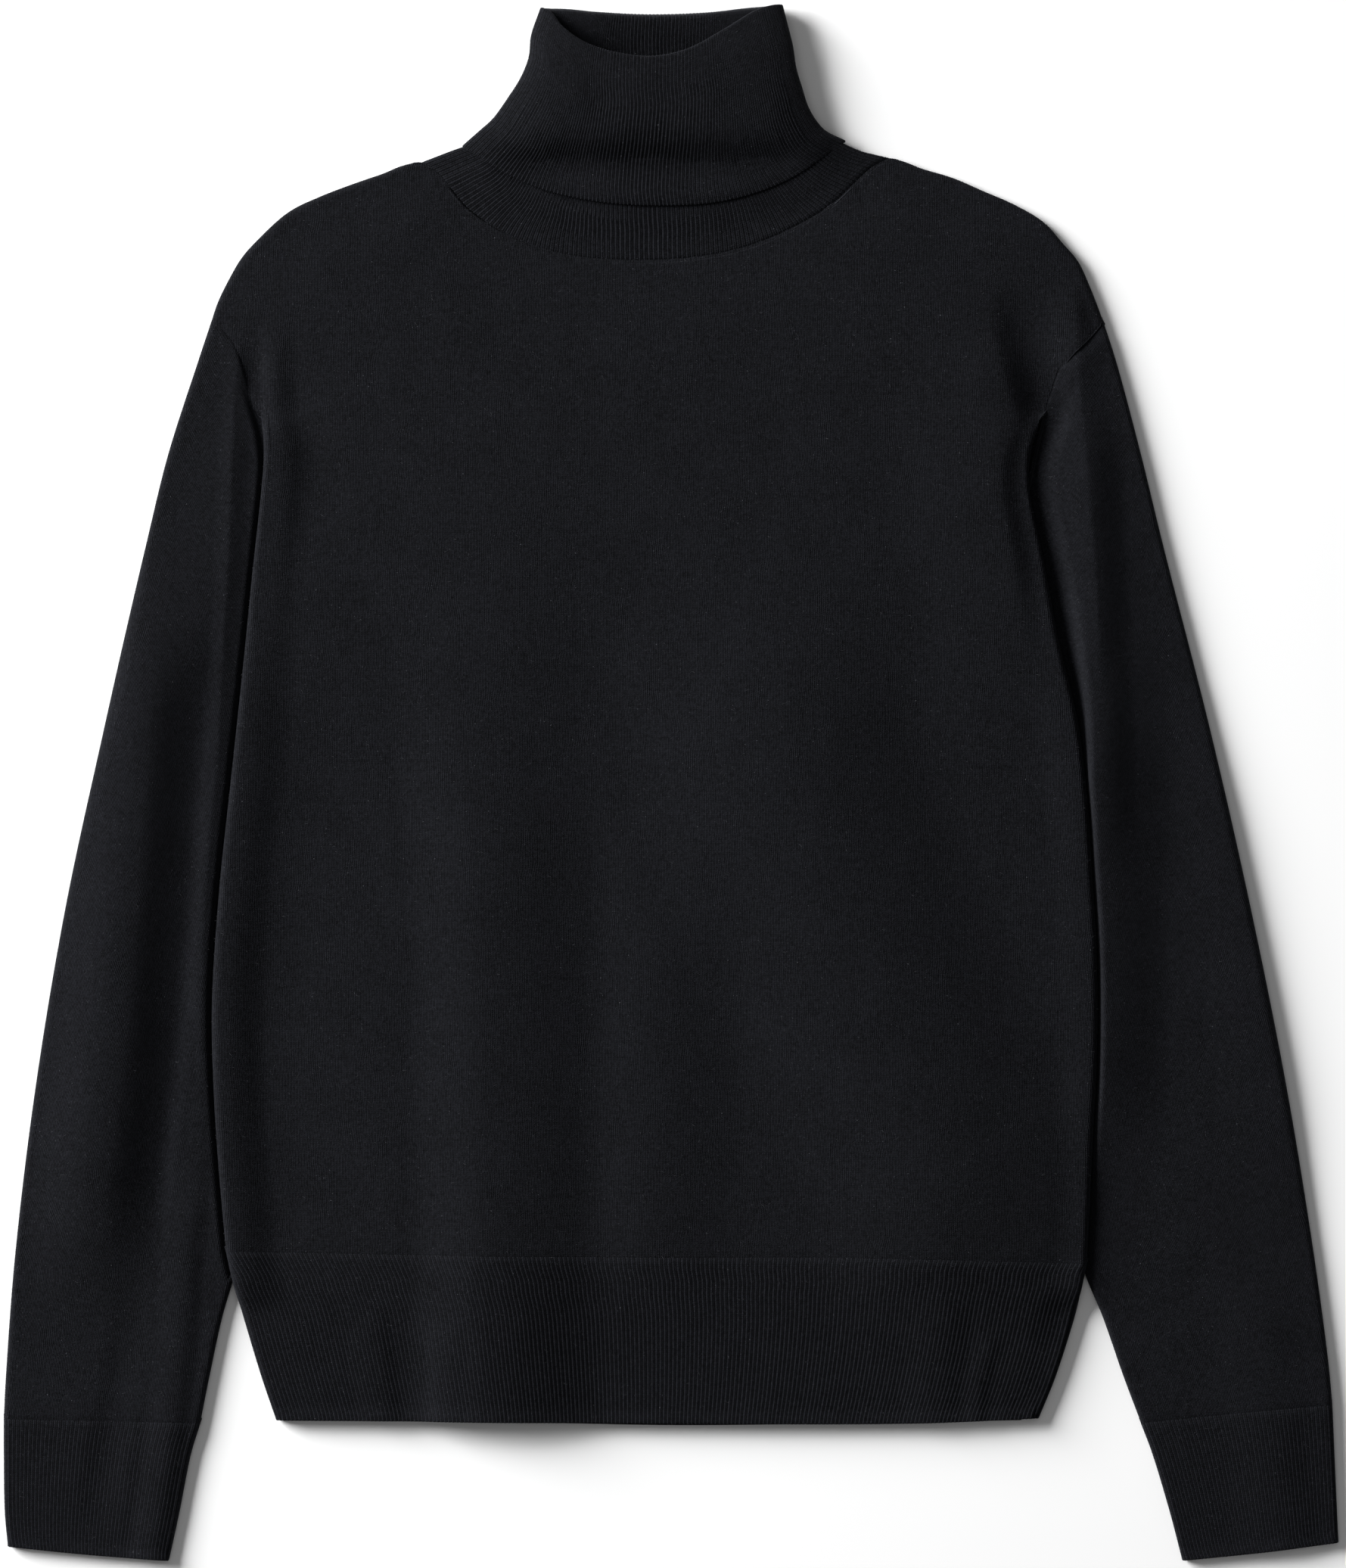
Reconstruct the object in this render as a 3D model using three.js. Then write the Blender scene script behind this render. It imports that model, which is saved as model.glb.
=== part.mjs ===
// Fine-knit turtleneck sweater laid flat on its back, in millimetres.
// +X is the viewer's right, +Y runs from hem to neck, +Z is up. The origin is under the middle, on the table.
import * as THREE from "three";

// Cloth and seams
const CLOTH = 1.2; // thickness of one knitted wall
const HALF = CLOTH / 2;
const SEAM = 0.3; // gap between two pieces that meet
const ARM_GAP = 2.4; // wider, because a ridge crosses this seam
const RIB_HEIGHT = 0.35;

// Heights of the middle of each wall above the table
const TABLE_LAYER = HALF; // the layer that lies on the table
const TUCKED_SLEEVE = 2.4; // top of a sleeve where the body lies over it
const TUCK = 4.1; // body cloth folded back under the side edge, above the sleeve
const SHOULDER = 4.9; // front at the shoulder line, the armhole seam and the neck seam
const BODY = 6.5;
const HEM_EDGE = 6.4;
const CUFF_EDGE = 4.1;
const SLEEVE = 4.9;

// Ribs across the front of each ribbed piece
const HEM_RIBS = 170;
const CUFF_RIBS = 46;
const FOLD_RIBS = 100;
const STAND_RIBS = 80;

// Outline of the front as [x, y], every list from left to right or from neck to hem
const LEFT_ARM_POINT = [-228.5, 227];
const RIGHT_ARM_POINT = [214.5, 228];
const LEFT_NECK_POINT = [-122.5, 307.5];
const RIGHT_NECK_POINT = [107, 309.5];
const LEFT_SHOULDER = [
  LEFT_ARM_POINT, [-225, 237.5], [-220, 248], [-213, 260], [-205, 269], [-190, 282.5], [-175, 290],
  [-145, 301], LEFT_NECK_POINT,
];
const NECK_SEAM = [
  LEFT_NECK_POINT, [-99, 283.5], [-59.5, 264], [-9, 259.5], [35, 265.5], [74.5, 283.5], RIGHT_NECK_POINT,
];
const RIGHT_SHOULDER = [
  RIGHT_NECK_POINT, [125, 304], [140, 299.5], [155, 293], [170, 286.5], [185, 277.5], [194, 267.5],
  [202, 258], [208, 245], [211, 237.5], RIGHT_ARM_POINT,
];
const LEFT_BODY_EDGE = [
  LEFT_ARM_POINT, [-222.5, 223.6], [-217.6, 218], [-214.4, 210.5], [-211.6, 200], [-208.5, 189],
  [-204, 174], [-202, 159], [-203, 144], [-207.5, 102.5], [-212, 57.5], [-218, 1.5], [-224, -55],
  [-227.5, -111], [-226.5, -156], [-224, -193.5], [-220.5, -232.5],
];
const RIGHT_BODY_EDGE = [
  RIGHT_ARM_POINT, [207.5, 220], [200, 212.5], [194, 204.5], [190, 194.5], [185, 177.5], [178, 159],
  [177.5, 144], [185, 106.5], [192, 69], [201, 31.5], [206, -6], [208.5, -43.5], [211, -88.5],
  [211, -137.5], [209, -175], [206, -238.5],
];
const HEM_SEAM = [[-220.5, -232.5], [-107, -234.5], [0, -235.5], [117.5, -236], [206, -238.5]];
const LEFT_HEM_EDGE = [[-220.5, -232.5], [-217.5, -246], [-212, -265], [-203, -295], [-196, -315.5]];
const RIGHT_HEM_EDGE = [[206, -238.5], [204, -248], [200, -265], [190.5, -295], [182.5, -314.5]];
const HEM_BOTTOM = [[-196, -315.5], [-107.5, -316], [0, -317], [117.5, -317], [182.5, -314.5]];

// Sleeves and cuffs
const LEFT_ARMHOLE = [
  LEFT_ARM_POINT, [-222.5, 223.6], [-217.6, 218], [-214.4, 210.5], [-211.6, 200], [-208.5, 189],
  [-200.5, 172], [-192, 144], [-182.5, 110], [-171.5, 72.5], [-162, 48],
];
const RIGHT_ARMHOLE = [
  RIGHT_ARM_POINT, [207.5, 220], [200, 212.5], [194, 204.5], [190, 194.5], [184, 174], [178, 147.5],
  [170.5, 114], [161.5, 76.5], [155, 48],
];
const LEFT_SLEEVE = {
  outer: [
    LEFT_ARM_POINT, [-235, 207.5], [-249.5, 162.5], [-260.5, 117.5], [-281, 27.5], [-300.5, -62.5],
    [-315.5, -152.5], [-325.5, -235], [-330, -295], [-331, -315.5],
  ],
  inner: [
    [-162, 48], [-167, 12.5], [-173.5, -36], [-182.5, -88.5], [-194, -145], [-206, -197.5],
    [-213, -227.5], [-217, -246], [-222.5, -265], [-229, -295], [-233.5, -317.5],
  ],
  cuffSeam: [[-331, -315.5], [-282, -316.5], [-233.5, -317.5]],
  cuffOuter: [[-331, -316], [-331, -332.5], [-330.5, -362.5], [-329, -378.5]],
  cuffInner: [[-233.5, -318], [-238, -332.5], [-244, -362.5], [-249, -385.5]],
  cuffBottom: [[-329, -378.5], [-289, -382.5], [-249, -385.5]],
};
const RIGHT_SLEEVE = {
  outer: [
    RIGHT_ARM_POINT, [221, 207.5], [233, 162.5], [244, 117.5], [267, 27.5], [287.5, -62.5],
    [305.5, -152.5], [319, -235], [326, -287.5], [328, -308.5],
  ],
  inner: [
    [155, 48], [159.5, 12.5], [165.5, -36], [173.5, -88.5], [184, -145], [195.5, -197.5],
    [201.5, -227.5], [205, -243], [214, -265], [224.5, -295], [233, -317.5],
  ],
  cuffSeam: [[328, -308.5], [276, -313], [233, -317.5]],
  cuffOuter: [[328, -309], [329, -332.5], [330, -355], [331, -376.5]],
  cuffInner: [[233, -318], [238.5, -332.5], [247.5, -362.5], [253.5, -385.5]],
  cuffBottom: [[331, -376.5], [292, -381.5], [253.5, -385.5]],
};

// Where the cloth that is folded under each side edge ends: x at each y
const TUCK_END = {
  left: [
    [190, -208], [172, -200], [144, -191.5], [110, -182], [72.5, -171], [50, -162], [30, -156],
    [12.5, -159], [-36, -165.5], [-88.5, -174.5], [-145, -186], [-197.5, -198], [-227.5, -205],
    [-246, -209], [-265, -204], [-295, -195], [-316, -188],
  ],
  right: [
    [194, 190], [172, 183.5], [144, 177], [112, 169.5], [75, 160.5], [50, 155], [30, 149],
    [12.5, 151.5], [-36, 157.5], [-88.5, 165.5], [-145, 176], [-197.5, 187.5], [-227.5, 193.5],
    [-243, 197], [-265, 192], [-295, 182.5], [-316, 174.5],
  ],
};

// Collar: a ribbed tube that rises from the neck seam and is folded down outside
const BACK_NECK = [LEFT_NECK_POINT, [-60, 298], [-9, 295.5], [45, 298], RIGHT_NECK_POINT];
const CREST_FRONT = [
  [-64.5, 384], [-61, 382.5], [-55, 375], [-44, 367], [-28, 361.5], [-9, 359.5], [8, 363],
  [27.5, 373.5], [41.5, 382], [50, 385], [55, 385.5],
];
const CREST_BACK = [
  [-64.5, 384], [-52, 383.8], [-38, 382.5], [-10, 381.2], [20, 382.3], [38, 384.3], [55, 385.5],
];
const FOLD_LEFT = [
  [-64.5, 384], [-69, 370.5], [-70, 360], [-74, 349.5], [-80.5, 339], [-88, 328.5], [-94, 323], [-103, 315],
];
const FOLD_RIGHT = [
  [55, 385.5], [57.5, 375.5], [60, 365], [61.5, 354.5], [64.5, 344], [68, 333.5], [75.5, 323], [86, 317.5],
];
const FOLD_FRONT_EDGE = [
  [-103, 315], [-70, 296.5], [-40, 288.5], [-5.5, 286], [27.5, 288.5], [57.5, 298.5], [86, 317.5],
];
const FOLD_BACK_EDGE = [[-103, 315], [-60, 309.5], [-9, 308], [45, 310], [86, 317.5]];
const STAND_LEFT = [
  [-62.5, 382.5], [-66.7, 370.5], [-67.7, 360], [-71.5, 350], [-78, 339.5], [-85, 329.5], [-91, 323.5],
  [-100, 316], [-110, 312], [-119.5, 308.2],
];
const STAND_RIGHT = [
  [53, 384], [55.2, 375], [57.7, 365], [59.2, 354.5], [62, 344], [65.5, 334], [73, 323.5], [84, 317],
  [94, 312.5], [103.8, 310.2],
];
const FOLD_LIFT = 1.7; // turned-down cloth above the stand
const STAND_BACK = 2.3; // back of the stand, above the turned-down back
const COLLAR_HEIGHTS = [
  [262, 5.4], [280, 6.4], [295, 7], [310, 7.6], [325, 8.8], [345, 10.8], [365, 11], [386, 9.4],
]; // top of the stand at each y

// Largest folds: where each lies, half its width, its height, how far its ends fade and its crest
const FOLDS = [
  { on: "both", half: 9, height: 3, fadeIn: 60, fadeOut: 60,
    path: [
      [-212, 237.5], [-216.5, 181], [-218, 125], [-221, 69], [-224, 12.5], [-229, -43.5],
      [-232, -118],
    ] },
  { on: "both", half: 9, height: 3.2, fadeIn: 22, fadeOut: 50,
    path: [
      [202, 256], [201.5, 230], [202.5, 200], [206.5, 144], [210, 87.5], [212.5, 31.5], [217, -25],
      [224, -81], [226, -118],
    ] },
  { on: "body", half: 9, height: -1.5, fadeIn: 20, fadeOut: 18,
    path: [[-203, 226], [-204, 196], [-203, 166]] },
  { on: "body", half: 11, height: 2.6, fadeIn: 26, fadeOut: 30,
    path: [[-197, 232], [-197, 200], [-193, 150]] },
  { on: "body", half: 10, height: -1.5, fadeIn: 26, fadeOut: 18,
    path: [[180.5, 240], [180.5, 200], [182, 168]] },
  { on: "body", half: 12, height: 2.8, fadeIn: 30, fadeOut: 30,
    path: [[168, 236], [169, 200], [168, 150]] },
  { on: "body", half: 38, height: 3.6, fadeIn: 170, fadeOut: 1,
    path: [[-112, 60], [-96, -62.5], [-92.5, -175], [-92.5, -330]] },
  { on: "body", half: 32, height: 2.2, fadeIn: 70, fadeOut: 60,
    path: [[-2.5, -30], [-6.5, -137.5], [-8, -265]] },
  { on: "body", half: 44, height: 1.6, fadeIn: 60, fadeOut: 40,
    path: [[58, 40], [96, -80], [140, -240]] },
  { on: "body", half: 34, height: -1.2, fadeIn: 60, fadeOut: 40,
    path: [[104, 60], [150, -60], [190, -190]] },
  { on: "body", half: 8, height: 1.1, fadeIn: 12, fadeOut: 1,
    path: [[188, -256], [180, -285], [171, -320]] },
  { on: "sleeve", half: 17, height: -1.5, fadeIn: 50, fadeOut: 50,
    path: [[-240, 40], [-251, -62.5], [-257.5, -137.5], [-262, -230]] },
  { on: "sleeve", half: 27, height: 1.4, fadeIn: 80, fadeOut: 1,
    path: [[-262, 70], [-276, 0], [-291, -100], [-306, -250], [-309, -390]] },
  { on: "sleeve", half: 18, height: -1.4, fadeIn: 50, fadeOut: 50,
    path: [[238, 40], [247, -62.5], [252, -137.5], [258, -220]] },
  { on: "sleeve", half: 27, height: 1.4, fadeIn: 80, fadeOut: 1,
    path: [[262, 70], [275, 0], [290, -100], [305, -250], [309, -390]] },
];

const mix = (a, b, t) => a + (b - a) * t;
const clamp = (t) => Math.min(1, Math.max(0, t));
const mixPoint = (a, b, t) => [mix(a[0], b[0], t), mix(a[1], b[1], t)];

function ease(from, to, x) {
  const t = clamp((x - from) / (to - from));
  return t * t * (3 - 2 * t);
}

// A smooth line through [x, y] points, called with 0 to 1 along its length
function curve(points) {
  const knots = points.map(([x, y]) => new THREE.Vector3(x, y, 0));
  const line = new THREE.CatmullRomCurve3(knots, false, "centripetal");
  return (t) => {
    const p = line.getPointAt(clamp(t));
    return [p.x, p.y];
  };
}

function sample(line, count) {
  return Array.from({ length: count + 1 }, (_, i) => line(i / count));
}

// A line moved sideways; a positive distance moves it to the left of its direction
function offsetPoints(points, distance) {
  return points.map((p, i) => {
    const a = points[Math.max(0, i - 1)];
    const b = points[Math.min(points.length - 1, i + 1)];
    const length = Math.hypot(b[0] - a[0], b[1] - a[1]);
    return [p[0] - ((b[1] - a[1]) / length) * distance, p[1] + ((b[0] - a[0]) / length) * distance];
  });
}

// The four-sided patch between its border lines, called with u across and v down
function patch(top, bottom, left, right) {
  return (u, v) => {
    const across = mixPoint(top(u), bottom(u), v);
    const down = mixPoint(left(v), right(v), u);
    const corners = mixPoint(mixPoint(top(0), top(1), u), mixPoint(bottom(0), bottom(1), u), v);
    return [across[0] + down[0] - corners[0], across[1] + down[1] - corners[1]];
  };
}

// Nearest place on a chain of points: how far away it is and how far along the chain
function nearest(chain, x, y) {
  let best = Infinity;
  let along = 0;
  let start = 0;
  for (let i = 1; i < chain.length; i++) {
    const [ax, ay] = chain[i - 1];
    const [dx, dy] = [chain[i][0] - ax, chain[i][1] - ay];
    const length = Math.hypot(dx, dy);
    const t = clamp(((x - ax) * dx + (y - ay) * dy) / (length * length));
    const distance = Math.hypot(x - ax - dx * t, y - ay - dy * t);
    if (distance < best) {
      best = distance;
      along = start + t * length;
    }
    start += length;
  }
  return { distance: best, along, length: start };
}

// Value of a table of [key, value] rows, in straight steps between its rows
function lookUp(table, key) {
  const rising = table[0][0] < table[table.length - 1][0] ? table : [...table].reverse();
  if (key <= rising[0][0]) return rising[0][1];
  const next = rising.findIndex((row) => row[0] >= key);
  if (next < 0) return rising[rising.length - 1][1];
  const [a, b] = [rising[next - 1], rising[next]];
  return mix(a[1], b[1], (key - a[0]) / (b[0] - a[0]));
}

function foldHeight(x, y, where) {
  let sum = 0;
  for (const fold of FOLDS) {
    if (fold.on !== "both" && fold.on !== where) continue;
    const near = nearest(fold.path, x, y);
    if (near.distance >= fold.half) continue;
    const bump = (1 - (near.distance / fold.half) ** 2) ** 2;
    const fade = ease(0, fold.fadeIn, near.along) * ease(0, fold.fadeOut, near.length - near.along);
    sum += fold.height * bump * fade;
  }
  return sum;
}

// Border lines of the front and the places derived from them
const topLine = curve([...LEFT_SHOULDER, ...NECK_SEAM.slice(1), ...RIGHT_SHOULDER.slice(1)]);
const topChain = sample(topLine, 120);
const neckChain = sample(curve(NECK_SEAM), 40);
const seamChains = [LEFT_ARMHOLE.slice(0, 6), RIGHT_ARMHOLE.slice(0, 5)];
const edgeX = {
  left: [...sample(curve(LEFT_BODY_EDGE), 60), ...LEFT_HEM_EDGE.slice(1)].map(([x, y]) => [y, x]),
  right: [...sample(curve(RIGHT_BODY_EDGE), 60), ...RIGHT_HEM_EDGE.slice(1)].map(([x, y]) => [y, x]),
};
const SIDE = { left: -1, right: 1 };

// Stretches of y over which the side edges change
const ROLL_BEGINS = [160, 188]; // above it the edge is sewn to the sleeve, below it the edge rolls under
const SLEEVE_GOES_UNDER = [176, 204];
const SLEEVE_COMES_OUT = [-270, -247];
const TUCK_COMES_DOWN = [-264, -248]; // past the sleeve the tuck lies on the table
const TUCK_END_DROPS = [5, 22]; // below the underarm the end of the tuck reaches the table
const HEM_NARROWS = [-316, -240];
const HEM_ROLL = 1.7; // radius of the rolled edge, to the middle of the cloth
const BODY_ROLL = 2.6;

const rolled = (y) => 1 - ease(...ROLL_BEGINS, y);
const sleeveUnder = (y) => (1 - ease(...SLEEVE_GOES_UNDER, y)) * ease(...SLEEVE_COMES_OUT, y);
const tuckHeight = (y) => mix(TABLE_LAYER, TUCK, ease(...TUCK_COMES_DOWN, y));
const rollRadius = (y) => mix(HEM_ROLL, BODY_ROLL, ease(...HEM_NARROWS, y));
const tuckDrop = (y) => 1 - ease(...TUCK_END_DROPS, y);

// Distances from an edge over which the height changes
const CROWN = 1.2; // the middle of the front above its sides
const CROWN_RISE = [20, 150];
const SHOULDER_RISE = 42;
const FOLD_RISE = 14;
const HEM_FALL = [-322, -225]; // as y, like the next
const CUFF_FALL = [-390, -300];
const EDGE_BLEND = [9, 38];
const SLEEVE_BLEND = [5, 14];
const ROLL_KEEPS_CLEAR = 60; // a rolled edge counts as this much farther from the seam

function frontHeight(x, y) {
  const toTop = nearest(topChain, x, y).distance;
  const toSeam = Math.min(...seamChains.map((chain) => nearest(chain, x, y).distance));
  const middle = mix(HEM_EDGE, BODY + CROWN * ease(...CROWN_RISE, toTop), ease(...HEM_FALL, y));
  const toEdge = Math.min(toTop, toSeam + ROLL_KEEPS_CLEAR * rolled(y));
  let height = mix(SHOULDER, middle, ease(0, SHOULDER_RISE, toEdge));
  height += foldHeight(x, y, "body") * ease(0, FOLD_RISE, toTop);
  const top = tuckHeight(y) + 2 * rollRadius(y);
  for (const side of ["left", "right"]) {
    const inside = SIDE[side] * (lookUp(edgeX[side], y) - x);
    height = mix(height, top, rolled(y) * (1 - ease(...EDGE_BLEND, inside)));
  }
  return height;
}

function sleeveHeight(x, y) {
  const side = x < 0 ? "left" : "right";
  const outside = SIDE[side] * (x - lookUp(edgeX[side], y));
  const free = mix(CUFF_EDGE, SLEEVE, ease(...CUFF_FALL, y)) + foldHeight(x, y, "sleeve");
  return mix(free, TUCKED_SLEEVE, sleeveUnder(y) * (1 - ease(...SLEEVE_BLEND, outside)));
}

// Triangles of one closed body, made from rows of points
class Body {
  constructor() {
    this.points = [];
    this.triangles = [];
  }

  // Keeps a row of points; places are their shares of the way along the row
  row(points, places) {
    const first = this.points.length;
    this.points.push(...points);
    return { ids: points.map((_, i) => first + i), places };
  }

  // Joins two rows that may have different numbers of points
  strip(a, b, closed) {
    const rowA = closed ? [...a.ids, a.ids[0]] : a.ids;
    const rowB = closed ? [...b.ids, b.ids[0]] : b.ids;
    const placesA = closed ? [...a.places, a.places[0] + 1] : a.places;
    const placesB = closed ? [...b.places, b.places[0] + 1] : b.places;
    let i = 0;
    let j = 0;
    while (i < rowA.length - 1 || j < rowB.length - 1) {
      const nextOnA = i < rowA.length - 1 && placesA[i + 1] <= placesB[j + 1] + 1e-9;
      const stepA = j === rowB.length - 1 || nextOnA;
      if (stepA) {
        this.triangles.push(rowA[i], rowB[j], rowA[i + 1]);
        i++;
      } else {
        this.triangles.push(rowA[i], rowB[j], rowB[j + 1]);
        j++;
      }
    }
  }

  // A wall from its outer and inner rows: both faces and the rims all round
  wall(outer, inner, closed) {
    for (let r = 0; r + 1 < outer.length; r++) this.strip(outer[r], outer[r + 1], closed);
    for (let r = 0; r + 1 < inner.length; r++) this.strip(inner[r + 1], inner[r], closed);
    this.strip(inner[0], outer[0], closed);
    this.strip(outer[outer.length - 1], inner[inner.length - 1], closed);
    if (closed) return this;
    const column = (rows, last) => ({
      ids: rows.map((row) => (last ? row.ids[row.ids.length - 1] : row.ids[0])),
      places: rows.map((_, r) => r),
    });
    this.strip(column(outer, false), column(inner, false), false);
    this.strip(column(inner, true), column(outer, true), false);
    return this;
  }

  geometry() {
    const flat = this.points.flatMap((p) => [p.x, p.y, p.z]);
    const made = new THREE.BufferGeometry();
    made.setAttribute("position", new THREE.Float32BufferAttribute(flat, 3));
    made.setIndex(this.triangles);
    return made;
  }
}

// Moves one row of a smooth surface along its normals; raise adds to some columns
function movedRow(surface, columns, v, distance, raise = () => 0) {
  const step = 1e-3;
  return columns.map((column, i) => {
    const at = surface(column, v);
    const down = surface(column, v + step).sub(surface(column, v - step));
    const next = surface({ ...column, nudge: 1 }, v).sub(surface({ ...column, nudge: -1 }, v));
    const normal = down.cross(next).normalize();
    return at.addScaledVector(normal, distance + Math.sign(distance) * raise(column, i));
  });
}

function wallBody(surface, rows, outerColumns, innerColumns, closed, raise) {
  const body = new Body();
  const face = (columns, distance, raised) => {
    const places = columns.map((column) => column.place);
    return rows.map((v) => body.row(movedRow(surface, columns, v, distance, raised), places));
  };
  const outer = face(outerColumns, HALF, raise);
  const inner = face(innerColumns, -HALF);
  return body.wall(outer, inner, closed).geometry();
}

// Side edges of the front: the end of the tuck, the roll and a short way in
const EDGE_SHARE = 0.032; // part of the width at each side
const EDGE_STEPS = [
  { tuck: 0 }, { tuck: 0.5 }, { tuck: 1 }, { turn: -90 }, { turn: -45 }, { turn: 0 }, { turn: 45 },
  { turn: 90 }, { in: 0.4 }, { in: 1 },
];
const EDGE_COUNT = EDGE_STEPS.length - 1;
const TUCK_RUN = 6.5; // the tuck comes down to the table over this length
const LEAST_TUCK = 1.6; // cloth kept under the body inside the roll

function edgePlace(side, panel, v, step) {
  const share = side === "left" ? EDGE_SHARE : 1 - EDGE_SHARE;
  const edge = panel(side === "left" ? 0 : 1, v);
  const anchor = panel(share, v);
  const reach = Math.abs(anchor[0] - edge[0]);
  const y = anchor[1];
  const radius = rollRadius(y);
  const wanted = -SIDE[side] * (lookUp(TUCK_END[side], y) - edge[0]);
  const width = Math.max(HALF + radius + LEAST_TUCK, wanted);
  const run = Math.min(TUCK_RUN, 0.8 * (width - HALF - radius));
  const at = (off) => [edge[0] - SIDE[side] * off, mix(edge[1], anchor[1], clamp(off / reach))];
  if (step.tuck !== undefined) {
    const end = mix(tuckHeight(y), TABLE_LAYER, tuckDrop(y));
    return [at(width - run * step.tuck), mix(end, tuckHeight(y), ease(0, 1, step.tuck))];
  }
  if (step.turn !== undefined) {
    const angle = THREE.MathUtils.degToRad(step.turn);
    return [at(HALF + radius * (1 - Math.cos(angle))), tuckHeight(y) + radius * (1 + Math.sin(angle))];
  }
  const plan = at(mix(HALF + radius, reach, step.in));
  return [plan, frontHeight(...plan)];
}

function edgeStep(k) {
  const low = Math.floor(Math.min(k, EDGE_COUNT - 1e-9));
  const [a, b] = [EDGE_STEPS[low], EDGE_STEPS[low + 1]];
  return { a, b, t: k - low };
}

// One place on the front: column has a side and a step k, or a share u of the width
function frontSurface(panel) {
  return (column, v) => {
    const nudge = (column.nudge || 0) * 0.02;
    if (!column.side) {
      const [x, y] = panel(column.u + nudge * EDGE_SHARE, v);
      return new THREE.Vector3(x, y, frontHeight(x, y));
    }
    const k = clamp((column.k + nudge) / EDGE_COUNT) * EDGE_COUNT;
    const share = (EDGE_SHARE * k) / EDGE_COUNT;
    const flat = panel(column.side === "left" ? share : 1 - share, v);
    const { a, b, t } = edgeStep(k);
    const [planA, highA] = edgePlace(column.side, panel, v, a);
    const [planB, highB] = edgePlace(column.side, panel, v, b);
    const plan = mixPoint(planA, planB, t);
    const weight = rolled(flat[1]);
    const [x, y] = mixPoint(flat, plan, weight);
    return new THREE.Vector3(x, y, mix(frontHeight(...flat), mix(highA, highB, t), weight));
  };
}

function frontColumns(middle) {
  const columns = [];
  for (let k = 0; k < EDGE_COUNT; k++) columns.push({ side: "left", k, place: (0.1 * k) / EDGE_COUNT });
  for (let i = 0; i <= middle; i++) {
    const t = i / middle;
    columns.push({ u: mix(EDGE_SHARE, 1 - EDGE_SHARE, t), place: mix(0.1, 0.9, t), rib: i });
  }
  for (let k = EDGE_COUNT - 1; k >= 0; k--) {
    columns.push({ side: "right", k, place: 1 - (0.1 * k) / EDGE_COUNT });
  }
  return columns;
}

const raisedRib = (column) => (column.rib % 2 ? RIB_HEIGHT : 0);

// Front: its rows start under the shoulder line, where it rolls down to meet the back
const FRONT_MIDDLE = 24;
const CURL_ROWS = [-4, -3, -2, -1];
const FLAT_ROWS = [
  0.006, 0.019, 0.034, 0.053, 0.073, 0.095, 0.12, 0.15, 0.185, 0.22, 0.27, 0.33, 0.37, 0.41, 0.48, 0.56,
  0.64, 0.72, 0.8, 0.88, 0.95, 1,
];
const frontOutline = patch(topLine, curve(HEM_SEAM), curve(LEFT_BODY_EDGE), curve(RIGHT_BODY_EDGE));
const frontBelow = frontSurface(frontOutline);

// The cloth that rolls over the shoulder line, from row -4 on the table to row -1 near the top
function shoulderCurl(column, row) {
  const radius = (SHOULDER - TABLE_LAYER) / 2;
  const edgeShare = (EDGE_SHARE * (column.k ?? 0)) / EDGE_COUNT;
  const share = column.side === "left" ? edgeShare : column.side === "right" ? 1 - edgeShare : column.u;
  const u = clamp(share + (column.nudge || 0) * 1e-3);
  const [a, at, b] = [topLine(clamp(u - 2e-3)), topLine(u), topLine(clamp(u + 2e-3))];
  const length = Math.hypot(b[0] - a[0], b[1] - a[1]);
  const inward = [(b[1] - a[1]) / length, -(b[0] - a[0]) / length];
  const shoulder = ease(4, 16, nearest(neckChain, ...at).distance);
  const angle = (-row * Math.PI) / 4;
  const off = mix(HALF + 0.5 * (4 + row), HALF + radius * (1 - Math.sin(angle)), shoulder);
  const plan = [at[0] + inward[0] * off, at[1] + inward[1] * off];
  const rollHigh = TABLE_LAYER + radius * (1 + Math.cos(angle));
  return new THREE.Vector3(...plan, mix(frontHeight(...plan), rollHigh, shoulder));
}

function frontPanelSurface(column, v) {
  const first = FLAT_ROWS[0];
  if (v >= first - 1e-9) return frontBelow(column, v);
  if (v < -0.9) return shoulderCurl(column, v);
  return frontBelow(column, first).lerp(shoulderCurl(column, -1), (first - v) / (1 + first));
}

function frontPanel() {
  const columns = frontColumns(FRONT_MIDDLE);
  return wallBody(frontPanelSurface, [...CURL_ROWS, ...FLAT_ROWS], columns, columns, false);
}

const HEM_ROWS = [0, 0.5, 1];
const lowered = ([x, y]) => [x, y - SEAM];
const hemOutline = patch(
  curve(HEM_SEAM.map(lowered)),
  curve(HEM_BOTTOM),
  curve(LEFT_HEM_EDGE.map(lowered)),
  curve(RIGHT_HEM_EDGE.map(lowered)),
);
const hemSurface = frontSurface(hemOutline);

function frontHem() {
  const [ribbed, plain] = [frontColumns(2 * HEM_RIBS), frontColumns(FRONT_MIDDLE)];
  return wallBody(hemSurface, HEM_ROWS, ribbed, plain, false, raisedRib);
}

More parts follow.
